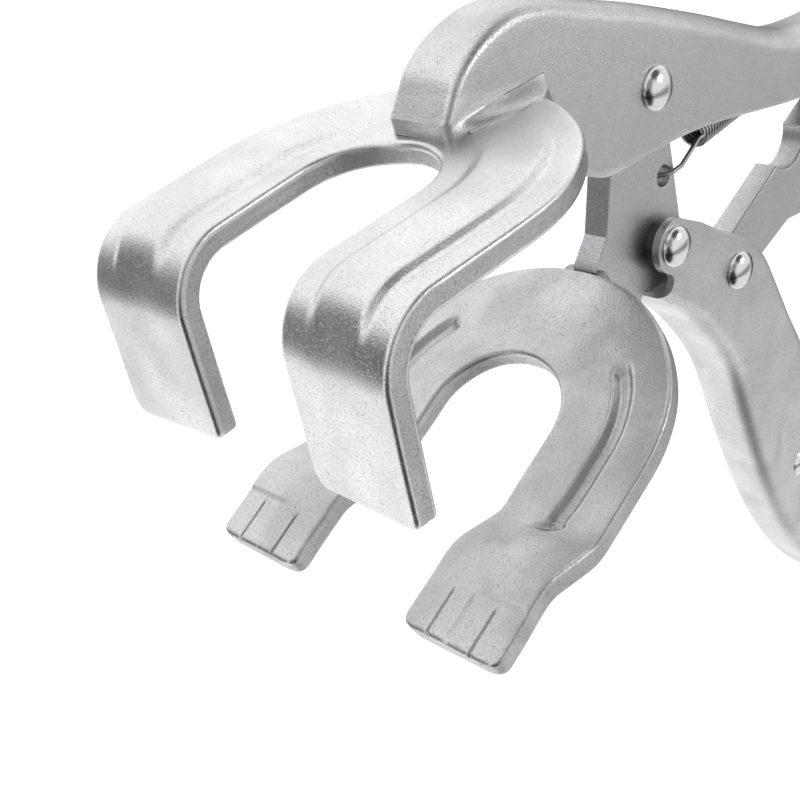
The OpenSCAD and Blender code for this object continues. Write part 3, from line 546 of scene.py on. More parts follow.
# %% Sections of one leg
def lower_half(near):
    rings = []

    def ring(place, inner=LOWER_IN, outer=LOWER_OUT, top=lower_top(0), inset=0.0):
        section = bar_section(inner, outer, top, inset, TOP_SHARES)
        rings.append([on_lower_plate(*place(y, z)) for y, z in section])

    ends = [(0.0, 0.7), (0.12, 0.4), (0.32, 0.18), (0.6, 0.05), (0.9, 0.0), (1.3, 0), (1.8, 0),
            (2.4, 0), (3.2, 0), (4.2, 0), (5.4, 0), (6.6, 0), (7.6, 0), (8.2, 0), (8.6, 0),
            (9.2, 0), (9.6, 0), (10.0, 0), (10.8, 0)]
    for left, inset in ends:
        u = LOWER_LONG - left
        drawn = corner_inset(left, PAD_CORNER)
        score = smooth_step((SCORE_LONG - left) / 1.2)
        coin = smooth_step((COIN_LONG - left) / 0.5)
        ring(lambda y, z, u=u: (u, y, z + STEP_RISE), LOWER_IN + drawn, LOWER_OUT - drawn,
             lower_top(0, score=score, coin=coin), inset)
    for n in range(STEP_RINGS):
        f = STEP_TURN * n / STEP_RINGS
        ring(lambda y, z, f=f: (LEG_END + STEP_LONG - (STEP_R2 + z) * sin(f), y,
                                STEP_RISE - STEP_R2 + (STEP_R2 + z) * cos(f)))
    for n in range(STEP_RINGS, 0, -1):
        f = STEP_TURN * n / STEP_RINGS
        fade = smooth_step((STEP_RINGS - n) / (STEP_RINGS - 1))
        ring(lambda y, z, f=f: (LEG_END + (STEP_R1 - z) * sin(f), y,
                                STEP_R1 - (STEP_R1 - z) * cos(f)),
             top=lower_top(fade, GROOVE_MID - 3.2 * (n / STEP_RINGS) ** 1.4))
    for n in range(LEG_RINGS):
        u = LEG_END - (LEG_END - LOWER_OUT) * n / LEG_RINGS
        pull = 0.5 * smooth_step(1 - n / 5)
        ring(lambda y, z, u=u: (u, y, z), top=lower_top(1.0, GROOVE_MID - pull))
    for n in range(ROUND_RINGS + 1):
        turn = radians(90 * n / ROUND_RINGS)
        fade = smooth_step((GROOVE_START - degrees(turn)) / GROOVE_SINK)
        ring(lambda y, z, turn=turn: (LOWER_OUT - y * sin(turn), y * cos(turn), z),
             top=lower_top(fade))
    return rings


# %% Lower jaw
lower_walls = wall_places(len(TOP_SHARES))
lower_rings = roughen_walls(settle(horseshoe(lower_half), 11, 0.06, 12), lower_walls, 7, 0.07)
lower_jaw = swept_skin("lower_jaw_forging", lower_rings, lower_walls)
finish_surface(lay_down(lower_jaw), crease=FORGED_CREASE)
dress(lower_jaw, "moving_jaw", (blasted_steel, sheared_steel), "lower_jaw")

# %% [markdown]
# ## The folded handles
# Each handle and the release lever is one sheet of steel, folded into a channel. A channel
# is swept through pairs of points on its back and on its open edge. A smooth curve through
# the drawn pairs gives many more, so that no flat shows along the back.

# %% Smooth runs
def smooth_run(values, steps):
    """Catmull-Rom curve through the rows of values, with steps rows for each span."""
    values = np.array(values, float)
    if values.ndim == 1:
        values = values[:, None]
    padded = np.vstack((2 * values[0] - values[1], values, 2 * values[-1] - values[-2]))
    rows = []
    for i in range(1, len(padded) - 2):
        a, b, c, d = padded[i - 1:i + 3]
        for n in range(steps):
            t = n / steps
            rows.append(0.5 * (2 * b + (c - a) * t + (2 * a - 5 * b + 4 * c - d) * t ** 2
                               + (3 * b - a - 3 * c + d) * t ** 3))
    rows.append(values[-1])
    return np.array(rows)


print("three values, two steps a span:", smooth_run([0, 1, 0], 2)[:, 0])

# %% Channels
BEND_STEPS, WALL_STEPS, BACK_STEPS = 9, 16, 8
RIM_ROUND = 0.35
FOLD_CREASE = 32


def channel_section(half, depth, sheet, bend, spread=()):
    """Loop of (side, down) points. spread gives (share of the wall, how far out) pairs."""
    inner_bend = max(bend - sheet, 0.25)
    centre = half - sheet - inner_bend
    start = sheet + inner_bend
    rim, chamfer = RIM_ROUND, RIM_ROUND * 0.3
    shares = [n / WALL_STEPS for n in range(1, WALL_STEPS + 1)]
    turns = [radians(90 * n / BEND_STEPS) for n in range(BEND_STEPS + 1)]

    def out(share):
        if not spread:
            return 0.0
        return float(np.interp(share, [s for s, _ in spread], [d for _, d in spread]))

    right = [(half - bend + bend * sin(a), bend - bend * cos(a)) for a in turns]
    right += [(half + out(s), start + (depth - rim - start) * s) for s in shares]
    right += [(half + out(1.0) - chamfer, depth - chamfer), (half + out(1.0) - rim, depth)]
    inside = [(half - sheet + rim, depth), (half - sheet + chamfer, depth - chamfer)]
    inside += [(half - sheet, start + (depth - rim - start) * s) for s in reversed(shares)]
    inside += [(centre + inner_bend * sin(a), start - inner_bend * cos(a)) for a in reversed(turns)]
    left = [(-y, z) for y, z in reversed(right)]
    inside_left = [(-y, z) for y, z in reversed(inside)]
    across = [2 * n / BACK_STEPS - 1 for n in range(1, BACK_STEPS)]
    back = [((half - bend) * share, 0.0) for share in across]
    under = [(-centre * share, sheet) for share in across]
    return left + back + right + inside + under + inside_left


def channel_rings(backs, edges, bends, half, sheet, spread_at=lambda i: ()):
    """A section at each pair of points. spread_at gives the flare of the section numbered i."""
    rings = []
    for i, (back, edge, bend) in enumerate(zip(backs, edges, bends)):
        depth = float(np.linalg.norm(edge - back))
        step = (edge - back) / depth
        section = channel_section(half, depth, sheet, float(bend), spread_at(i))
        rings.append([(back[0] + step[0] * down, side, back[1] + step[1] * down)
                      for side, down in section])
    return rings


print("points round a channel:", len(channel_section(6.0, 20.0, 1.6, 4.0)))

# %% [markdown]
# ## The upper handle
# The nose comes down onto the upper jaw and ends in a lip that flares outwards along the
# seat. The first sections of the sweep carry the flare, and the crease above it stays sharp.

# %% Drawn points of the upper handle
NOSE_X = 49.4
LIP_RIM, LIP_HEIGHT, SEAT_LONG = 0.6, 2.6, 22.4
UPPER_HALF, UPPER_SHEET = 6.0, 1.6
# The flare: how far out, in millimetres, at each share of the seat from its front end
LIP_FLARE = [(0.0, 0.5), (0.14, 1.3), (0.3, 1.9), (0.45, 2.8), (0.6, 3.7), (0.74, 4.2),
             (0.88, 2.6), (1.0, 0.4)]
# Levels above the seat and the share of the flare that is left there
LIP_LEVELS = [(0.0, 1.0), (LIP_RIM * 0.45, 1.0), (LIP_RIM * 0.8, 0.9), (1.0, 0.62), (1.4, 0.26),
              (1.7, 0.08), (1.95, 0.0)]
LIP_TOP = 2.2

handle_backs = [(NOSE_X + 0.1, SEAT_RISE + LIP_HEIGHT), (47, 18.8), (45, 21.1), (42.3, 23),
                (39, 24.5), (35, 25.5), (31, 25.9), (27, 25.5), (22, 24), (16, 21.6), (9, 18.6),
                (1.5, 15.4), (-9.2, 10.3), (-20.7, 4.6), (-31, -0.8), (-39.7, -5.2),
                (-47, -8.1), (-56, -10.2), (-70, -12.2), (-90, -14.1), (-112, -15.6)]
handle_edges = [(NOSE_X - SEAT_LONG - 0.2, SEAT_RISE + LIP_HEIGHT / 2), (26.4, 11.4),
                (25.9, 9.6), (25.3, 7.4), (24.6, 4.6), (23.8, 1.6), (22.8, -2), (21.2, -5.6),
                (18.2, -7.8), (14.5, -9.2), (8.5, -9.9), (1, -10.7), (-9, -12.2),
                (-20, -14.8), (-30.9, -17.9), (-40, -20.5), (-48, -22.4), (-57, -24),
                (-71, -25.9), (-91, -27.4), (-112, -28.2)]
handle_bends = [1.3, 1.4, 1.6, 1.8, 2.1, 2.4, 2.7, 3, 3.2, 3.4, 3.5, 3.6, 3.8, 4.1, 4.3,
                4.4, 4.4, 4.3, 4.1, 4, 4]
print("drawn pairs:", len(handle_backs), len(handle_edges), len(handle_bends))

# %% Upper handle
SPAN_STEPS = 6
backs = smooth_run(handle_backs, SPAN_STEPS)
edges = smooth_run(handle_edges, SPAN_STEPS)
bends = smooth_run(handle_bends, SPAN_STEPS)[:, 0]
lip_backs, lip_edges = [], []
for level, _ in LIP_LEVELS:
    share = level / LIP_TOP
    lip_backs.append((NOSE_X + 0.1 * share, SEAT_RISE + LIP_HEIGHT * share))
    lip_edges.append((NOSE_X - SEAT_LONG - 0.2 * share, SEAT_RISE + LIP_HEIGHT / 2 * share))
backs = np.vstack((lip_backs, backs))
edges = np.vstack((lip_edges, edges))
bends = np.concatenate((np.full(len(LIP_LEVELS), handle_bends[0]), bends))


def lip_spread(i):
    if i >= len(LIP_LEVELS):
        return ()
    return [(share, out * LIP_LEVELS[i][1]) for share, out in LIP_FLARE]


rings = channel_rings(backs, edges, bends, UPPER_HALF, UPPER_SHEET, lip_spread)
upper_handle = swept_skin("upper_handle_channel", rings)
print("sections along the upper handle:", len(rings))

# %% [markdown]
# ## Holes and joined pieces
# Bores, ears and the threaded sleeve need cuts and joins that a sweep can't make. Exact
# Booleans with simple solids do them, applied at once so that plain meshes remain.

# %% Simple solids
# Pieces that are still in millimetres have their points merged within these
SWEPT_WELD, DRAWN_WELD = 0.001, 0.0001
ROUND_SEGMENTS = 64


def stacked_solid(name, rows):
    """Closed solid through rows of equal count, with a flat cap at each end."""
    count = len(rows[0])
    faces = []
    for i in range(len(rows) - 1):
        for n in range(count):
            k = (n + 1) % count
            faces.append((i * count + n, i * count + k, (i + 1) * count + k, (i + 1) * count + n))
    faces.append(tuple(range(count - 1, -1, -1)))
    faces.append(tuple((len(rows) - 1) * count + n for n in range(count)))
    points = [point for row in rows for point in row]
    return finish_surface(mesh_object(name, points, faces), weld=DRAWN_WELD)


def drawn_plate(name, outline, thick):
    """Flat plate across the tool from a side outline of (x, z) points."""
    return stacked_solid(name, [[(x, side * thick / 2, z) for x, z in outline] for side in (-1, 1)])


def cylinder_across(name, centre, radius, length):
    """Cylinder across the tool, centred on (x, z)."""
    turns = [2 * pi * n / ROUND_SEGMENTS for n in range(ROUND_SEGMENTS)]
    return drawn_plate(name, [(centre[0] + radius * cos(a), centre[1] + radius * sin(a))
                              for a in turns], length)


# %% Cuts and joins
def apply_modifiers(obj):
    bpy.context.view_layer.update()
    evaluated = obj.evaluated_get(bpy.context.evaluated_depsgraph_get())
    result = bpy.data.meshes.new_from_object(evaluated)
    obj.modifiers.clear()
    old, obj.data = obj.data, result
    bpy.data.meshes.remove(old)
    return obj


def cut(obj, *cutters, operation="DIFFERENCE"):
    for cutter in cutters:
        modifier = obj.modifiers.new("cut", "BOOLEAN")
        modifier.object = cutter
        modifier.operation = operation
        modifier.solver = "EXACT"
    apply_modifiers(obj)
    for cutter in cutters:
        bpy.data.objects.remove(cutter)
    return obj


# %% Round pieces on the screw's axis
SCREW_TIP = np.array((-95.0, 0.0, -20.5))
SCREW_WAY = np.array((-0.997564, 0.0, -0.0697565))
SCREW_SIDE = np.array((0.0, 1.0, 0.0))
SCREW_UP = np.cross(SCREW_WAY, SCREW_SIDE)


def turned(name, stations, segments=ROUND_SEGMENTS, radius_at=lambda along, radius, angle: radius):
    """Closed solid of revolution about the screw's axis, from (along, radius) stations."""
    rows = []
    for along, radius in stations:
        row = []
        for n in range(segments):
            a = 2 * pi * n / segments
            out = cos(a) * SCREW_SIDE + sin(a) * SCREW_UP
            row.append(SCREW_TIP + along * SCREW_WAY + radius_at(along, radius, a) * out)
        rows.append(row)
    return stacked_solid(name, rows)


print("the screw slopes by", round(degrees(np.arcsin(-SCREW_WAY[2])), 2), "degrees")

# %% Finish the upper handle
SLEEVE_START, SLEEVE_LONG, SLEEVE_R, SLEEVE_CHAMFER = 13.0, 16.0, 6.4, 0.7
SCREW_R, SCREW_PLAY = 3.9, 0.05
TONGUE_X, TONGUE_LOW, TONGUE_HIGH, TONGUE_W = -58.6, -18.9, -11.9, 2.2
RIVET_BORE_R, LEVER_BORE_R = 3.05, 2.05
CUTTER_LONG = 20

finish_surface(upper_handle, crease=FOLD_CREASE, weld=SWEPT_WELD)
sleeve_end = SLEEVE_START + SLEEVE_LONG
end_r, bore_r = SLEEVE_R - SLEEVE_CHAMFER, SCREW_R + SCREW_PLAY
sleeve = turned("sleeve", [(SLEEVE_START, end_r), (SLEEVE_START + SLEEVE_CHAMFER, SLEEVE_R),
                           (sleeve_end - SLEEVE_CHAMFER, SLEEVE_R), (sleeve_end, end_r)])
tongue = drawn_plate("tongue", [(TONGUE_X, TONGUE_LOW), (TONGUE_X, TONGUE_HIGH),
                                (TONGUE_X + UPPER_SHEET, TONGUE_HIGH),
                                (TONGUE_X + UPPER_SHEET, TONGUE_LOW)], TONGUE_W)
cut(upper_handle, sleeve, tongue, operation="UNION")
cut(upper_handle, turned("sleeve_bore", [(SLEEVE_START - 1, bore_r), (sleeve_end + 1, bore_r)]),
    cylinder_across("pivot_bore", (0, 0), RIVET_BORE_R, CUTTER_LONG))
finish_surface(lay_down(upper_handle), crease=FOLD_CREASE)
dress(upper_handle, "fixed_half", sheet_steel, "upper_handle")

# %% [markdown]
# ## The lower handle and the release lever
# Both are swept in the lower handle's own axes. The handle's walls run forwards as two ears
# round the pivot, and a cutter with the ears' outline trims them.

# %% The lower handle's axes
HANDLE_HEEL = np.array((0.3, -30.3))
HANDLE_SLOPE = radians(70)
ALONG_HANDLE = np.array((-cos(HANDLE_SLOPE), -sin(HANDLE_SLOPE)))
ACROSS_HANDLE = np.array((-sin(HANDLE_SLOPE), cos(HANDLE_SLOPE)))
LINK_PIN, LEVER_PIN = (21.2, 12.6), (84.0, 8.0)
CHANNEL_STEPS = 5


def on_handle(u, v):
    """Place (x, z) of a point u along and v across the lower handle from its pivot."""
    return tuple(HANDLE_HEEL + u * ALONG_HANDLE + v * ACROSS_HANDLE)


def handle_channel(name, webs, rims, bends, half, sheet):
    """Channel through (u, v) points of its web and its rims, in the lower handle's axes."""
    webs = np.array([on_handle(*p) for p in smooth_run(webs, CHANNEL_STEPS)])
    rims = np.array([on_handle(*p) for p in smooth_run(rims, CHANNEL_STEPS)])
    bends = smooth_run(bends, CHANNEL_STEPS)[:, 0]
    rings = channel_rings(webs, rims, bends, half, sheet)
    return finish_surface(swept_skin(name, rings), crease=FOLD_CREASE, weld=SWEPT_WELD)


print("the link pin, from the jaw pivot:", [round(float(c), 2) for c in on_handle(*LINK_PIN)])

# %% Lower handle
LOWER_HALF, LOWER_SHEET = 6.2, 1.5
EAR_R = 5.2
TRIMMER_WIDE = 26
grip_webs = [(-8, -9.6), (0, -8.8), (8, -7.2), (12.3, -5.1), (20.6, -2.1), (30.7, 0.1), (39.1, 0.9),
             (46, 0.5), (56, -0.9), (67, -2.3), (78, -3.3), (88, -3.6), (98, -3.3), (108, -2.2),
             (118, -0.2), (127, 2.6), (134, 5.6), (137, 7.4)]
grip_rims = [(-8, 4), (-1, 7), (7.5, 11.2), (12.4, 14.5), (18.5, 18.2), (26, 20.8), (37, 21.3),
             (47, 21.5), (56, 22), (67, 21.2), (78, 19.2), (88, 17), (97, 15.3), (106, 14.4),
             (115, 14.4), (124, 15.6), (131, 17.4), (133.6, 16)]
grip_bends = [2.4, 2.4, 2.4, 2.6, 3, 3.2, 3.4, 3.5, 3.6, 3.7, 3.8, 3.8, 3.8, 3.8, 3.8,
              3.6, 3.2, 2.8]
ear_outline = [(-EAR_R * 0.5, EAR_R * 0.86), (2.4, 8.2), (7.4, 11.2), (8.4, 11), (8.4, -9),
               (6.6, -8), (6.4, -5), (5.4, -3.6), (4.2, -3.5), (3.4, -3.9), (0, 0)]

lower_handle = handle_channel("lower_handle_channel", grip_webs, grip_rims, grip_bends,
                              LOWER_HALF, LOWER_SHEET)
corner = [on_handle(u, v) for u, v in ((-12, -14), (7.4, -14), (7.4, 16), (-12, 16))]
trimmer = drawn_plate("trimmer", corner, TRIMMER_WIDE)
cut(trimmer, cylinder_across("ear_round", on_handle(0, 0), EAR_R, TRIMMER_WIDE + 4),
    drawn_plate("ear_plate", [on_handle(u, v) for u, v in ear_outline], TRIMMER_WIDE + 4))
cut(lower_handle, trimmer,
    cylinder_across("heel_bore", on_handle(0, 0), RIVET_BORE_R, CUTTER_LONG),
    cylinder_across("link_bore", on_handle(*LINK_PIN), RIVET_BORE_R, CUTTER_LONG),
    cylinder_across("lever_bore", on_handle(*LEVER_PIN), LEVER_BORE_R, CUTTER_LONG))
finish_surface(lay_down(lower_handle), crease=FOLD_CREASE)
dress(lower_handle, "moving_handle", sheet_steel, "lower_handle")

# %% Release lever
LEVER_HALF, LEVER_SHEET = 4.3, 1.2
lever_webs = [(57, 10.5), (58.4, 13), (62, 14.6), (70, 14.4), (78, 13.6), (86, 13.2), (94, 14),
              (102, 16.2), (110, 19), (118, 21.8), (125, 24), (130, 25)]
lever_rims = [(58.4, 9.2), (60.6, 8.2), (64, 7), (71, 5.2), (78, 3.8), (86, 3.4), (93, 5.6),
              (101, 10), (109.5, 14.4), (118, 18.6), (125.4, 21.8), (130.4, 23.2)]
lever_bends = [1, 1.3, 1.6, 1.8, 1.8, 1.8, 1.8, 1.8, 1.7, 1.6, 1.4, 1]
release_lever = handle_channel("release_lever_channel", lever_webs, lever_rims, lever_bends,
                               LEVER_HALF, LEVER_SHEET)
cut(release_lever, cylinder_across("lever_bore", on_handle(*LEVER_PIN), LEVER_BORE_R, CUTTER_LONG))
finish_surface(lay_down(release_lever), crease=FOLD_CREASE)
dress(release_lever, "lever", sheet_steel, "release_lever")

# %% [markdown]
# ## Pieces that keep their CAD form
# The arm, the link, the pin, the spacers and the weld beads already have the right shape.
# Each gets a copy of its mesh with its points merged. The two stamped plates also have their
# sharp edges broken by a small bevel, because a stamped edge always shows a bright line.

# %% Softened copies
FLAT_ENOUGH = radians(1.2)
EDGE_LIMIT = radians(30)
STAMPED_EDGE, STAMPED_CREASE = 0.35, 14


def softened(node, body, material, name, bevel=0.0, crease=40.0):
    """Copy of a CAD node's mesh, with its flat faces joined and its edges bevelled."""
    mesh = nodes[node].data.copy()
    obj = bpy.data.objects.new(name, mesh)
    bpy.context.scene.collection.objects.link(obj)
    work = bmesh.new()
    work.from_mesh(mesh)
    bmesh.ops.remove_doubles(work, verts=work.verts, dist=0.004 * MM)
    bmesh.ops.dissolve_limit(work, angle_limit=FLAT_ENOUGH, verts=work.verts, edges=work.edges)
    work.to_mesh(mesh)
    work.free()
    if bevel:
        modifier = obj.modifiers.new("soft_edge", "BEVEL")
        modifier.width = bevel * MM
        modifier.segments = 3
        modifier.limit_method = "ANGLE"
        modifier.angle_limit = EDGE_LIMIT
        apply_modifiers(obj)
    finish_surface(obj, crease=crease)
    return dress(obj, body, material, node)


softened("lower_jaw_arm", "moving_jaw", plate_steel, "jaw_arm_plate", STAMPED_EDGE,
         STAMPED_CREASE)
softened("toggle_link", "link", plate_steel, "toggle_link_plate", STAMPED_EDGE,
         STAMPED_CREASE)
softened("release_lever_pin", "moving_handle", rivet_steel, "lever_pin")
# The spacer washers take the near-black finish, which paints the shadow in the gaps round each
# pivot.
for place, body in (("jaw_pivot", "fixed_half"), ("handle_pivot", "moving_jaw"),
                    ("link_pivot", "moving_handle")):
    for side in ("near", "far"):
        softened(f"{place}_washer_{side}", body, painted_shade_steel, f"{place}_spacer_{side}")
softened("upper_jaw_weld_near", "fixed_half", plated_bead, "seat_weld_near")
softened("upper_jaw_weld_far", "fixed_half", plated_bead, "seat_weld_far")
softened("lower_jaw_weld", "moving_jaw", weld_metal, "arm_weld")

# %% [markdown]
# ## Rivets
# The three rivets are alike, so one Geometry Nodes tree makes them: a shank and two
# flattened balls whose inner halves lie hidden in the sheet. The head's size and the grip
# are named inputs, and the tree ends in real geometry with its material.

# %% Rivet tree
SHANK_R, HEAD_R, DOME_HIGH = 3.0, 4.0, 2.1
JAW_GRIP, HANDLE_GRIP = 12.0, 12.4


def node_group(name, inputs):
    tree = bpy.data.node_groups.new(name, "GeometryNodeTree")
    tree.interface.new_socket("Geometry", in_out="OUTPUT", socket_type="NodeSocketGeometry")
    for label, kind, start in inputs:
        socket = tree.interface.new_socket(label, in_out="INPUT", socket_type=kind)
        if start is not None:
            socket.default_value = start
    return tree, tree.nodes.new("NodeGroupInput"), tree.nodes.new("NodeGroupOutput")


def use_tree(obj, tree, values):
    """Adds the tree to an object, sets its inputs by identifier and applies it."""
    modifier = obj.modifiers.new(tree.name, "NODES")
    modifier.node_group = tree
    for item in tree.interface.items_tree:
        if item.item_type == "SOCKET" and item.in_out == "INPUT" and item.name in values:
            modifier[item.identifier] = values[item.name]
    return apply_modifiers(obj)


def close_tree(tree, geometry, inputs, output):
    """Ends a tree in real geometry with its material, which is what an export needs."""
    real = add_node(tree, "GeometryNodeRealizeInstances", {"Geometry": geometry})
    paint = add_node(tree, "GeometryNodeSetMaterial", {"Geometry": real.outputs["Geometry"],
                                                       "Material": inputs.outputs["Material"]})
    tree.links.new(paint.outputs["Geometry"], output.inputs["Geometry"])
    return tree


def rivet_tree():
    tree, inputs, output = node_group("domed_rivet", [
        ("Shank radius", "NodeSocketFloat", SHANK_R), ("Head radius", "NodeSocketFloat", HEAD_R),
        ("Dome height", "NodeSocketFloat", DOME_HIGH), ("Grip", "NodeSocketFloat", JAW_GRIP),
        ("Material", "NodeSocketMaterial", None)])
    given = inputs.outputs
    shank = add_node(tree, "GeometryNodeMeshCylinder", {
        "Vertices": 48, "Radius": given["Shank radius"], "Depth": given["Grip"]})
    ball = add_node(tree, "GeometryNodeMeshUVSphere", {"Segments": 64, "Rings": 40})
    flattened = add_node(tree, "ShaderNodeCombineXYZ", {
        "X": given["Head radius"], "Y": given["Head radius"], "Z": given["Dome height"]})
    near = add_node(tree, "ShaderNodeCombineXYZ",
                    {"Z": calculate(tree, "MULTIPLY", given["Grip"], 0.5)})
    far = add_node(tree, "ShaderNodeCombineXYZ",
                   {"Z": calculate(tree, "MULTIPLY", given["Grip"], -0.5)})
    ends = add_node(tree, "GeometryNodeMeshLine", {
        "Count": 2, "Start Location": far.outputs["Vector"], "Offset": near.outputs["Vector"]},
        mode="END_POINTS")
    heads = add_node(tree, "GeometryNodeInstanceOnPoints", {
        "Points": ends.outputs["Mesh"], "Instance": ball.outputs["Mesh"],
        "Scale": flattened.outputs["Vector"]})
    joined = add_node(tree, "GeometryNodeJoinGeometry", {"Geometry": shank.outputs["Mesh"]})
    tree.links.new(heads.outputs["Instances"], joined.inputs["Geometry"])
    return close_tree(tree, joined.outputs["Geometry"], inputs, output)


RIVET_TREE = rivet_tree()
print("nodes in the rivet tree:", len(RIVET_TREE.nodes))


# %% Three rivets
def across_tool(obj, place):
    """Stands a piece made along Z across the tool at (x, z)."""
    obj.data.transform(Matrix.Translation((place[0], 0, place[1]))
                       @ Matrix.Rotation(radians(90), 4, "X"))
    return lay_down(obj)


RIVETS = (("jaw_pivot_rivet", "fixed_half", (0, 0), JAW_GRIP),
          ("handle_pivot_rivet", "moving_jaw", on_handle(0, 0), HANDLE_GRIP),
          ("link_pivot_rivet", "moving_handle", on_handle(*LINK_PIN), HANDLE_GRIP))
for node, body, place, grip in RIVETS:
    rivet = mesh_object(node + "_domed", [(0, 0, 0)], [])
    use_tree(rivet, RIVET_TREE, {"Shank radius": SHANK_R, "Head radius": HEAD_R,
                                 "Dome height": DOME_HIGH, "Grip": grip,
                                 "Material": rivet_steel})
    finish_surface(across_tool(rivet, place), crease=50)
    dress(rivet, body, rivet_steel, node)

# %% [markdown]
# ## The spring
# The spring is one wire: a hook through the jaw arm, a close coil, and a hook round the
# upper handle's tongue. The path is a formula, and a second tree gives it its thickness.

# %% Wire tree
WIRE_R, COIL_R, LOOP_R, HOOK_TAIL = 0.45, 2.6, 3.2, 2.5
SPRING_HOLE = (-3.7, -18.7)
COIL_LIFT, NECK_LONG, COIL_LONG = 1.8, 6.5, 31.0
COIL_STEPS, WIRE_SIDES = 20, 12
HOLE_PLAY = 0.5


def wire_tree():
    tree, inputs, output = node_group("round_wire", [
        ("Path", "NodeSocketGeometry", None), ("Wire radius", "NodeSocketFloat", WIRE_R),
        ("Material", "NodeSocketMaterial", None)])
    given = inputs.outputs
    curve = add_node(tree, "GeometryNodeMeshToCurve", {"Mesh": given["Path"]})
    ring = add_node(tree, "GeometryNodeCurvePrimitiveCircle", {
        "Resolution": WIRE_SIDES, "Radius": given["Wire radius"]})
    wire = add_node(tree, "GeometryNodeCurveToMesh", {
        "Curve": curve.outputs["Curve"], "Profile Curve": ring.outputs["Curve"],
        "Fill Caps": True})
    return close_tree(tree, wire.outputs["Mesh"], inputs, output)


WIRE_TREE = wire_tree()
print("nodes in the wire tree:", len(WIRE_TREE.nodes))


# %% The wire's path
def hook_path(x, z, way):
    """From the coil's end along the near side, round and a little way back."""
    path = [(x - way * (LOOP_R + 2), LOOP_R, z)]
    path += [(x - way * LOOP_R * (1 - cos(radians(a))), LOOP_R * sin(radians(a)), z)
             for a in range(90, -91, -9)]
    return path + [(x - way * (LOOP_R + HOOK_TAIL), -LOOP_R, z)]


def spring_path():
    front = SPRING_HOLE[0] - 2 * LOOP_R - NECK_LONG
    level = SPRING_HOLE[1] + COIL_LIFT
    turns = int(COIL_LONG / (2 * WIRE_R)) - 1
    first = hook_path(SPRING_HOLE[0] + HOLE_PLAY, SPRING_HOLE[1], 1)[::-1]
    first.append((front + 0.9, COIL_R * 0.9, level))
    coil = []
    for n in range(turns * COIL_STEPS + 1):
        a = 2 * pi * n / COIL_STEPS
        coil.append((front - WIRE_R - (COIL_LONG - 2 * WIRE_R) * n / (turns * COIL_STEPS),
                     COIL_R * cos(a), level + COIL_R * sin(a)))
    rear = front - COIL_LONG
    last = [(rear - 1.2, COIL_R * 0.95, level)] + hook_path(TONGUE_X - 0.3 - WIRE_R, level, -1)
    return first + coil + last


path = spring_path()
print("points along the wire:", len(path))

# %% Spring
spring = bpy.data.objects.new("coil_spring", bpy.data.meshes.new("coil_spring"))
bpy.context.scene.collection.objects.link(spring)
spring.data.from_pydata(path, [(n, n + 1) for n in range(len(path) - 1)], [])
use_tree(spring, WIRE_TREE, {"Wire radius": WIRE_R, "Material": spring_wire})
finish_surface(lay_down(spring), crease=60)
dress(spring, "coil", spring_wire, "spring")

# %% [markdown]
# ## The adjusting screw
# The rod carries a real thread and the head a crossed knurl. Both are one turned surface
# whose radius follows a formula, because a cut thread has no loose pieces to instance.

# %% Thread and knurl
KNOB_R, KNOB_LONG, KNOB_GAP, KNOB_BEVEL = 8.5, 15.0, 4.0, 1.2
THREAD_PITCH, THREAD_DEEP, THREAD_STEPS = 1.25, 0.6, 8
KNURL_ROWS, KNURL_DEEP, KNURL_STEPS = 36, 0.45, 56
ROD_SEGMENTS, KNOB_SEGMENTS = 48, 216
# A radius this much smaller is left plain by the thread's and the knurl's formula
PLAIN = 0.01
TIP_CHAMFER = 2.0


def thread_radius(along, radius, angle):
    """Radius of the rod: a V-shaped groove that winds round it."""
    if radius < SCREW_R:
        return radius
    phase = (along / THREAD_PITCH - angle / (2 * pi)) % 1.0
    return radius - THREAD_DEEP * min(1.0, max(0.0, 2.6 * abs(phase - 0.5) - 0.15))


def knurl_radius(along, radius, angle):
    """Radius of the head: two sets of slanted grooves that cross."""
    if radius < KNOB_R:
        return radius
    twist = along / KNOB_R
    ridge = abs(sin(KNURL_ROWS * (angle + twist) / 2)) * abs(sin(KNURL_ROWS * (angle - twist) / 2))
    return radius - KNURL_DEEP * (1 - min(1.0, 1.6 * ridge))


print("turns of thread:", round((sleeve_end + KNOB_GAP - TIP_CHAMFER) / THREAD_PITCH, 1))

# %% Rod and head
head_start = sleeve_end + KNOB_GAP
head_end = head_start + KNOB_LONG
thread_steps = int((head_start - TIP_CHAMFER) * THREAD_STEPS / THREAD_PITCH) + 1
rod = [(0, 2.0), (0.6, 2.6), (TIP_CHAMFER, SCREW_R - PLAIN)]
rod += [(TIP_CHAMFER + n * THREAD_PITCH / THREAD_STEPS, SCREW_R) for n in range(thread_steps)]
rod += [(head_start + 0.5, SCREW_R - PLAIN)]
screw_rod = turned("screw_rod", rod, ROD_SEGMENTS, thread_radius)

knurl_start, knurl_long = head_start + KNOB_BEVEL, KNOB_LONG - 2 * KNOB_BEVEL
knob = [(head_start, 6.4), (head_start + 0.2, KNOB_R - KNOB_BEVEL), (knurl_start, KNOB_R - PLAIN)]
knob += [(knurl_start + knurl_long * n / KNURL_STEPS, KNOB_R) for n in range(KNURL_STEPS + 1)]
knob += [(head_end - KNOB_BEVEL, KNOB_R - PLAIN), (head_end, KNOB_R - KNOB_BEVEL),
         (head_end, 5.6), (head_end - 0.5, 5.2)]
screw_head = turned("screw_head", knob, KNOB_SEGMENTS, knurl_radius)
for piece, name in ((screw_rod, "threaded_rod"), (screw_head, "knurled_head")):
    piece.name = name
    finish_surface(lay_down(piece), crease=30)
    dress(piece, "screw", screw_steel, "adjusting_screw")

# %% [markdown]
# ## The bench
# The floor is one pale sheet that takes a soft shadow. Two rays see something else there.
# The camera also gets a glow, so that the bench stays white in the picture, and what a metal
# mirrors passes through the floor to the studio's world, so that its light is set in one place.

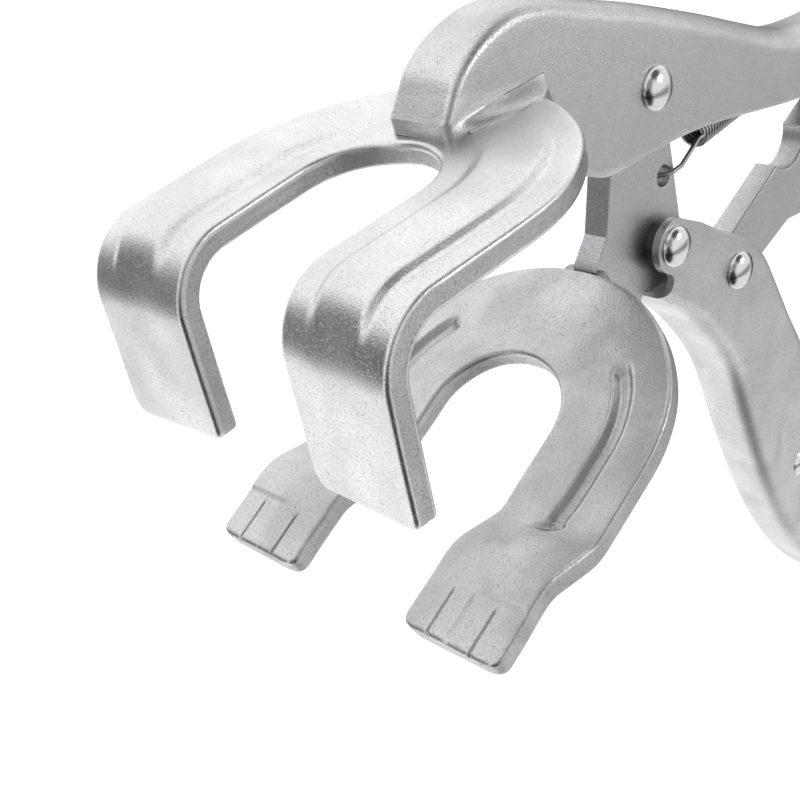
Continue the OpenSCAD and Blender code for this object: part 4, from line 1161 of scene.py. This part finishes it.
# %% Bench
BENCH_HALF, BENCH_DROP = 2.0, 0.0004
BENCH_GLOW, BENCH_CLOUDS = 0.9, 40
WHITE = (1, 1, 1, 1)


def bench_material():
    material = bpy.data.materials.new("pale_bench")
    material.use_nodes = True
    tree = material.node_tree
    tree.nodes.clear()
    tint = add_node(tree, "ShaderNodeMix", {
        "Factor": noise(tree, BENCH_CLOUDS, 2), "A": (0.93, 0.93, 0.93, 1),
        "B": (0.95, 0.95, 0.95, 1)}, data_type="RGBA")
    sheet = add_node(tree, "ShaderNodeBsdfPrincipled", {
        "Base Color": tint.outputs["Result"], "Roughness": 0.9, "Specular IOR Level": 0.1})
    glow = add_node(tree, "ShaderNodeEmission", {"Color": WHITE, "Strength": BENCH_GLOW})
    lit = add_node(tree, "ShaderNodeAddShader", {
        0: sheet.outputs["BSDF"], 1: glow.outputs["Emission"]})
    rays = add_node(tree, "ShaderNodeLightPath").outputs
    to_camera = add_node(tree, "ShaderNodeMixShader", {
        0: rays["Is Camera Ray"], 1: sheet.outputs["BSDF"], 2: lit.outputs["Shader"]})
    open_way = add_node(tree, "ShaderNodeBsdfTransparent")
    to_metal = add_node(tree, "ShaderNodeMixShader", {
        0: rays["Is Glossy Ray"], 1: to_camera.outputs["Shader"], 2: open_way.outputs["BSDF"]})
    add_node(tree, "ShaderNodeOutputMaterial", {"Surface": to_metal.outputs["Shader"]})
    return material


corners = [(-BENCH_HALF, -BENCH_HALF), (BENCH_HALF, -BENCH_HALF), (BENCH_HALF, BENCH_HALF),
           (-BENCH_HALF, BENCH_HALF)]
floor = mesh_object("bench", [(x, y, -BENCH_DROP) for x, y in corners], [(0, 1, 2, 3)])
floor.data.materials.append(bench_material())
print("bench", 2 * BENCH_HALF, "m square")

# %% [markdown]
# ## The studio round it
# The camera sees a white world. The metal sees a studio that is bright low down and a little
# dimmer overhead, because plated steel takes its form from what it mirrors. A photographer
# stands dark flags round such a tool: here each is a soft dark spot in the world, given by
# the way to it, and a dark bar across the ceiling puts the band on the domed rivets.

# %% Flags and bar
OVERHEAD, SURROUND = 0.92, 1.22
CEILING_FROM, CEILING_FULL = -0.25, 0.35
# The way to each flag, the cosines where it starts and is full, and the light it leaves
FLAGS = (((0.80, -0.13, -0.60), 0.79, 0.97, 0.12),
         ((0.42, -0.45, 0.78), 0.80, 0.97, 0.35),
         ((0.62, 0.42, 0.65), 0.66, 0.90, 0.05),
         ((-0.86, 0.36, -0.36), 0.78, 0.95, 0.05),
         ((-0.40, -0.68, 0.58), 0.84, 0.97, 0.12))
BAR_Y, BAR_DARK = 0.39, 0.3
BAR_HALF, BAR_EDGE = 0.03, 0.16


def bar_light(tree, way):
    """1 beside the bar and below the ceiling, and less on the bar."""
    beside = calculate(tree, "ABSOLUTE", calculate(tree, "SUBTRACT", way["Y"], BAR_Y))
    shade = smooth_range(tree, beside, BAR_HALF, BAR_EDGE, 1.0 - BAR_DARK, 0.0)
    above = smooth_range(tree, way["Z"], 0.1, 0.4, 0.0, 1.0, shape="LINEAR")
    return calculate(tree, "SUBTRACT", 1.0, calculate(tree, "MULTIPLY", shade, above))


print("dark flags:", len(FLAGS))


# %% World
def studio_world():
    world = bpy.data.worlds.new("studio")
    bpy.context.scene.world = world
    world.use_nodes = True
    tree = world.node_tree
    tree.nodes.clear()
    direction = add_node(tree, "ShaderNodeTexCoord").outputs["Generated"]
    way = add_node(tree, "ShaderNodeSeparateXYZ", {"Vector": direction}).outputs
    level = smooth_range(tree, way["Z"], CEILING_FROM, CEILING_FULL, SURROUND, OVERHEAD)
    for flag, start, full, dark in FLAGS:
        towards = add_node(tree, "ShaderNodeVectorMath", {
            0: direction, 1: Vector(flag).normalized()}, operation="DOT_PRODUCT")
        left = smooth_range(tree, towards.outputs["Value"], start, full, 1.0, dark)
        level = calculate(tree, "MULTIPLY", level, left)
    level = calculate(tree, "MULTIPLY", level, bar_light(tree, way))
    around = add_node(tree, "ShaderNodeBackground", {"Color": WHITE, "Strength": level})
    seen = add_node(tree, "ShaderNodeBackground", {"Color": WHITE})
    rays = add_node(tree, "ShaderNodeLightPath").outputs
    mix = add_node(tree, "ShaderNodeMixShader", {
        0: rays["Is Camera Ray"], 1: around.outputs["Background"], 2: seen.outputs["Background"]})
    add_node(tree, "ShaderNodeOutputWorld", {"Surface": mix.outputs["Shader"]})
    print("nodes in the world:", len(tree.nodes))


studio_world()

# %% Lamp
BOX_PLACE, BOX_AIM = (-0.44, -0.2, 0.56), (0.03, 0, 0.03)
BOX_ACROSS, BOX_POWER = 0.2, 0.6


def softbox(name, place, target, across, power):
    """Round soft lamp. It gives each domed rivet its one bright spot."""
    data = bpy.data.lights.new(name, "AREA")
    data.shape = "DISK"
    data.size = across
    data.energy = power
    lamp = bpy.data.objects.new(name, data)
    lamp.location = place
    lamp.rotation_euler = (Vector(target) - Vector(place)).to_track_quat("-Z", "Y").to_euler()
    bpy.context.scene.collection.objects.link(lamp)
    return lamp


softbox("rivet_softbox", BOX_PLACE, BOX_AIM, BOX_ACROSS, BOX_POWER)
print("lamps:", len(bpy.data.lights))
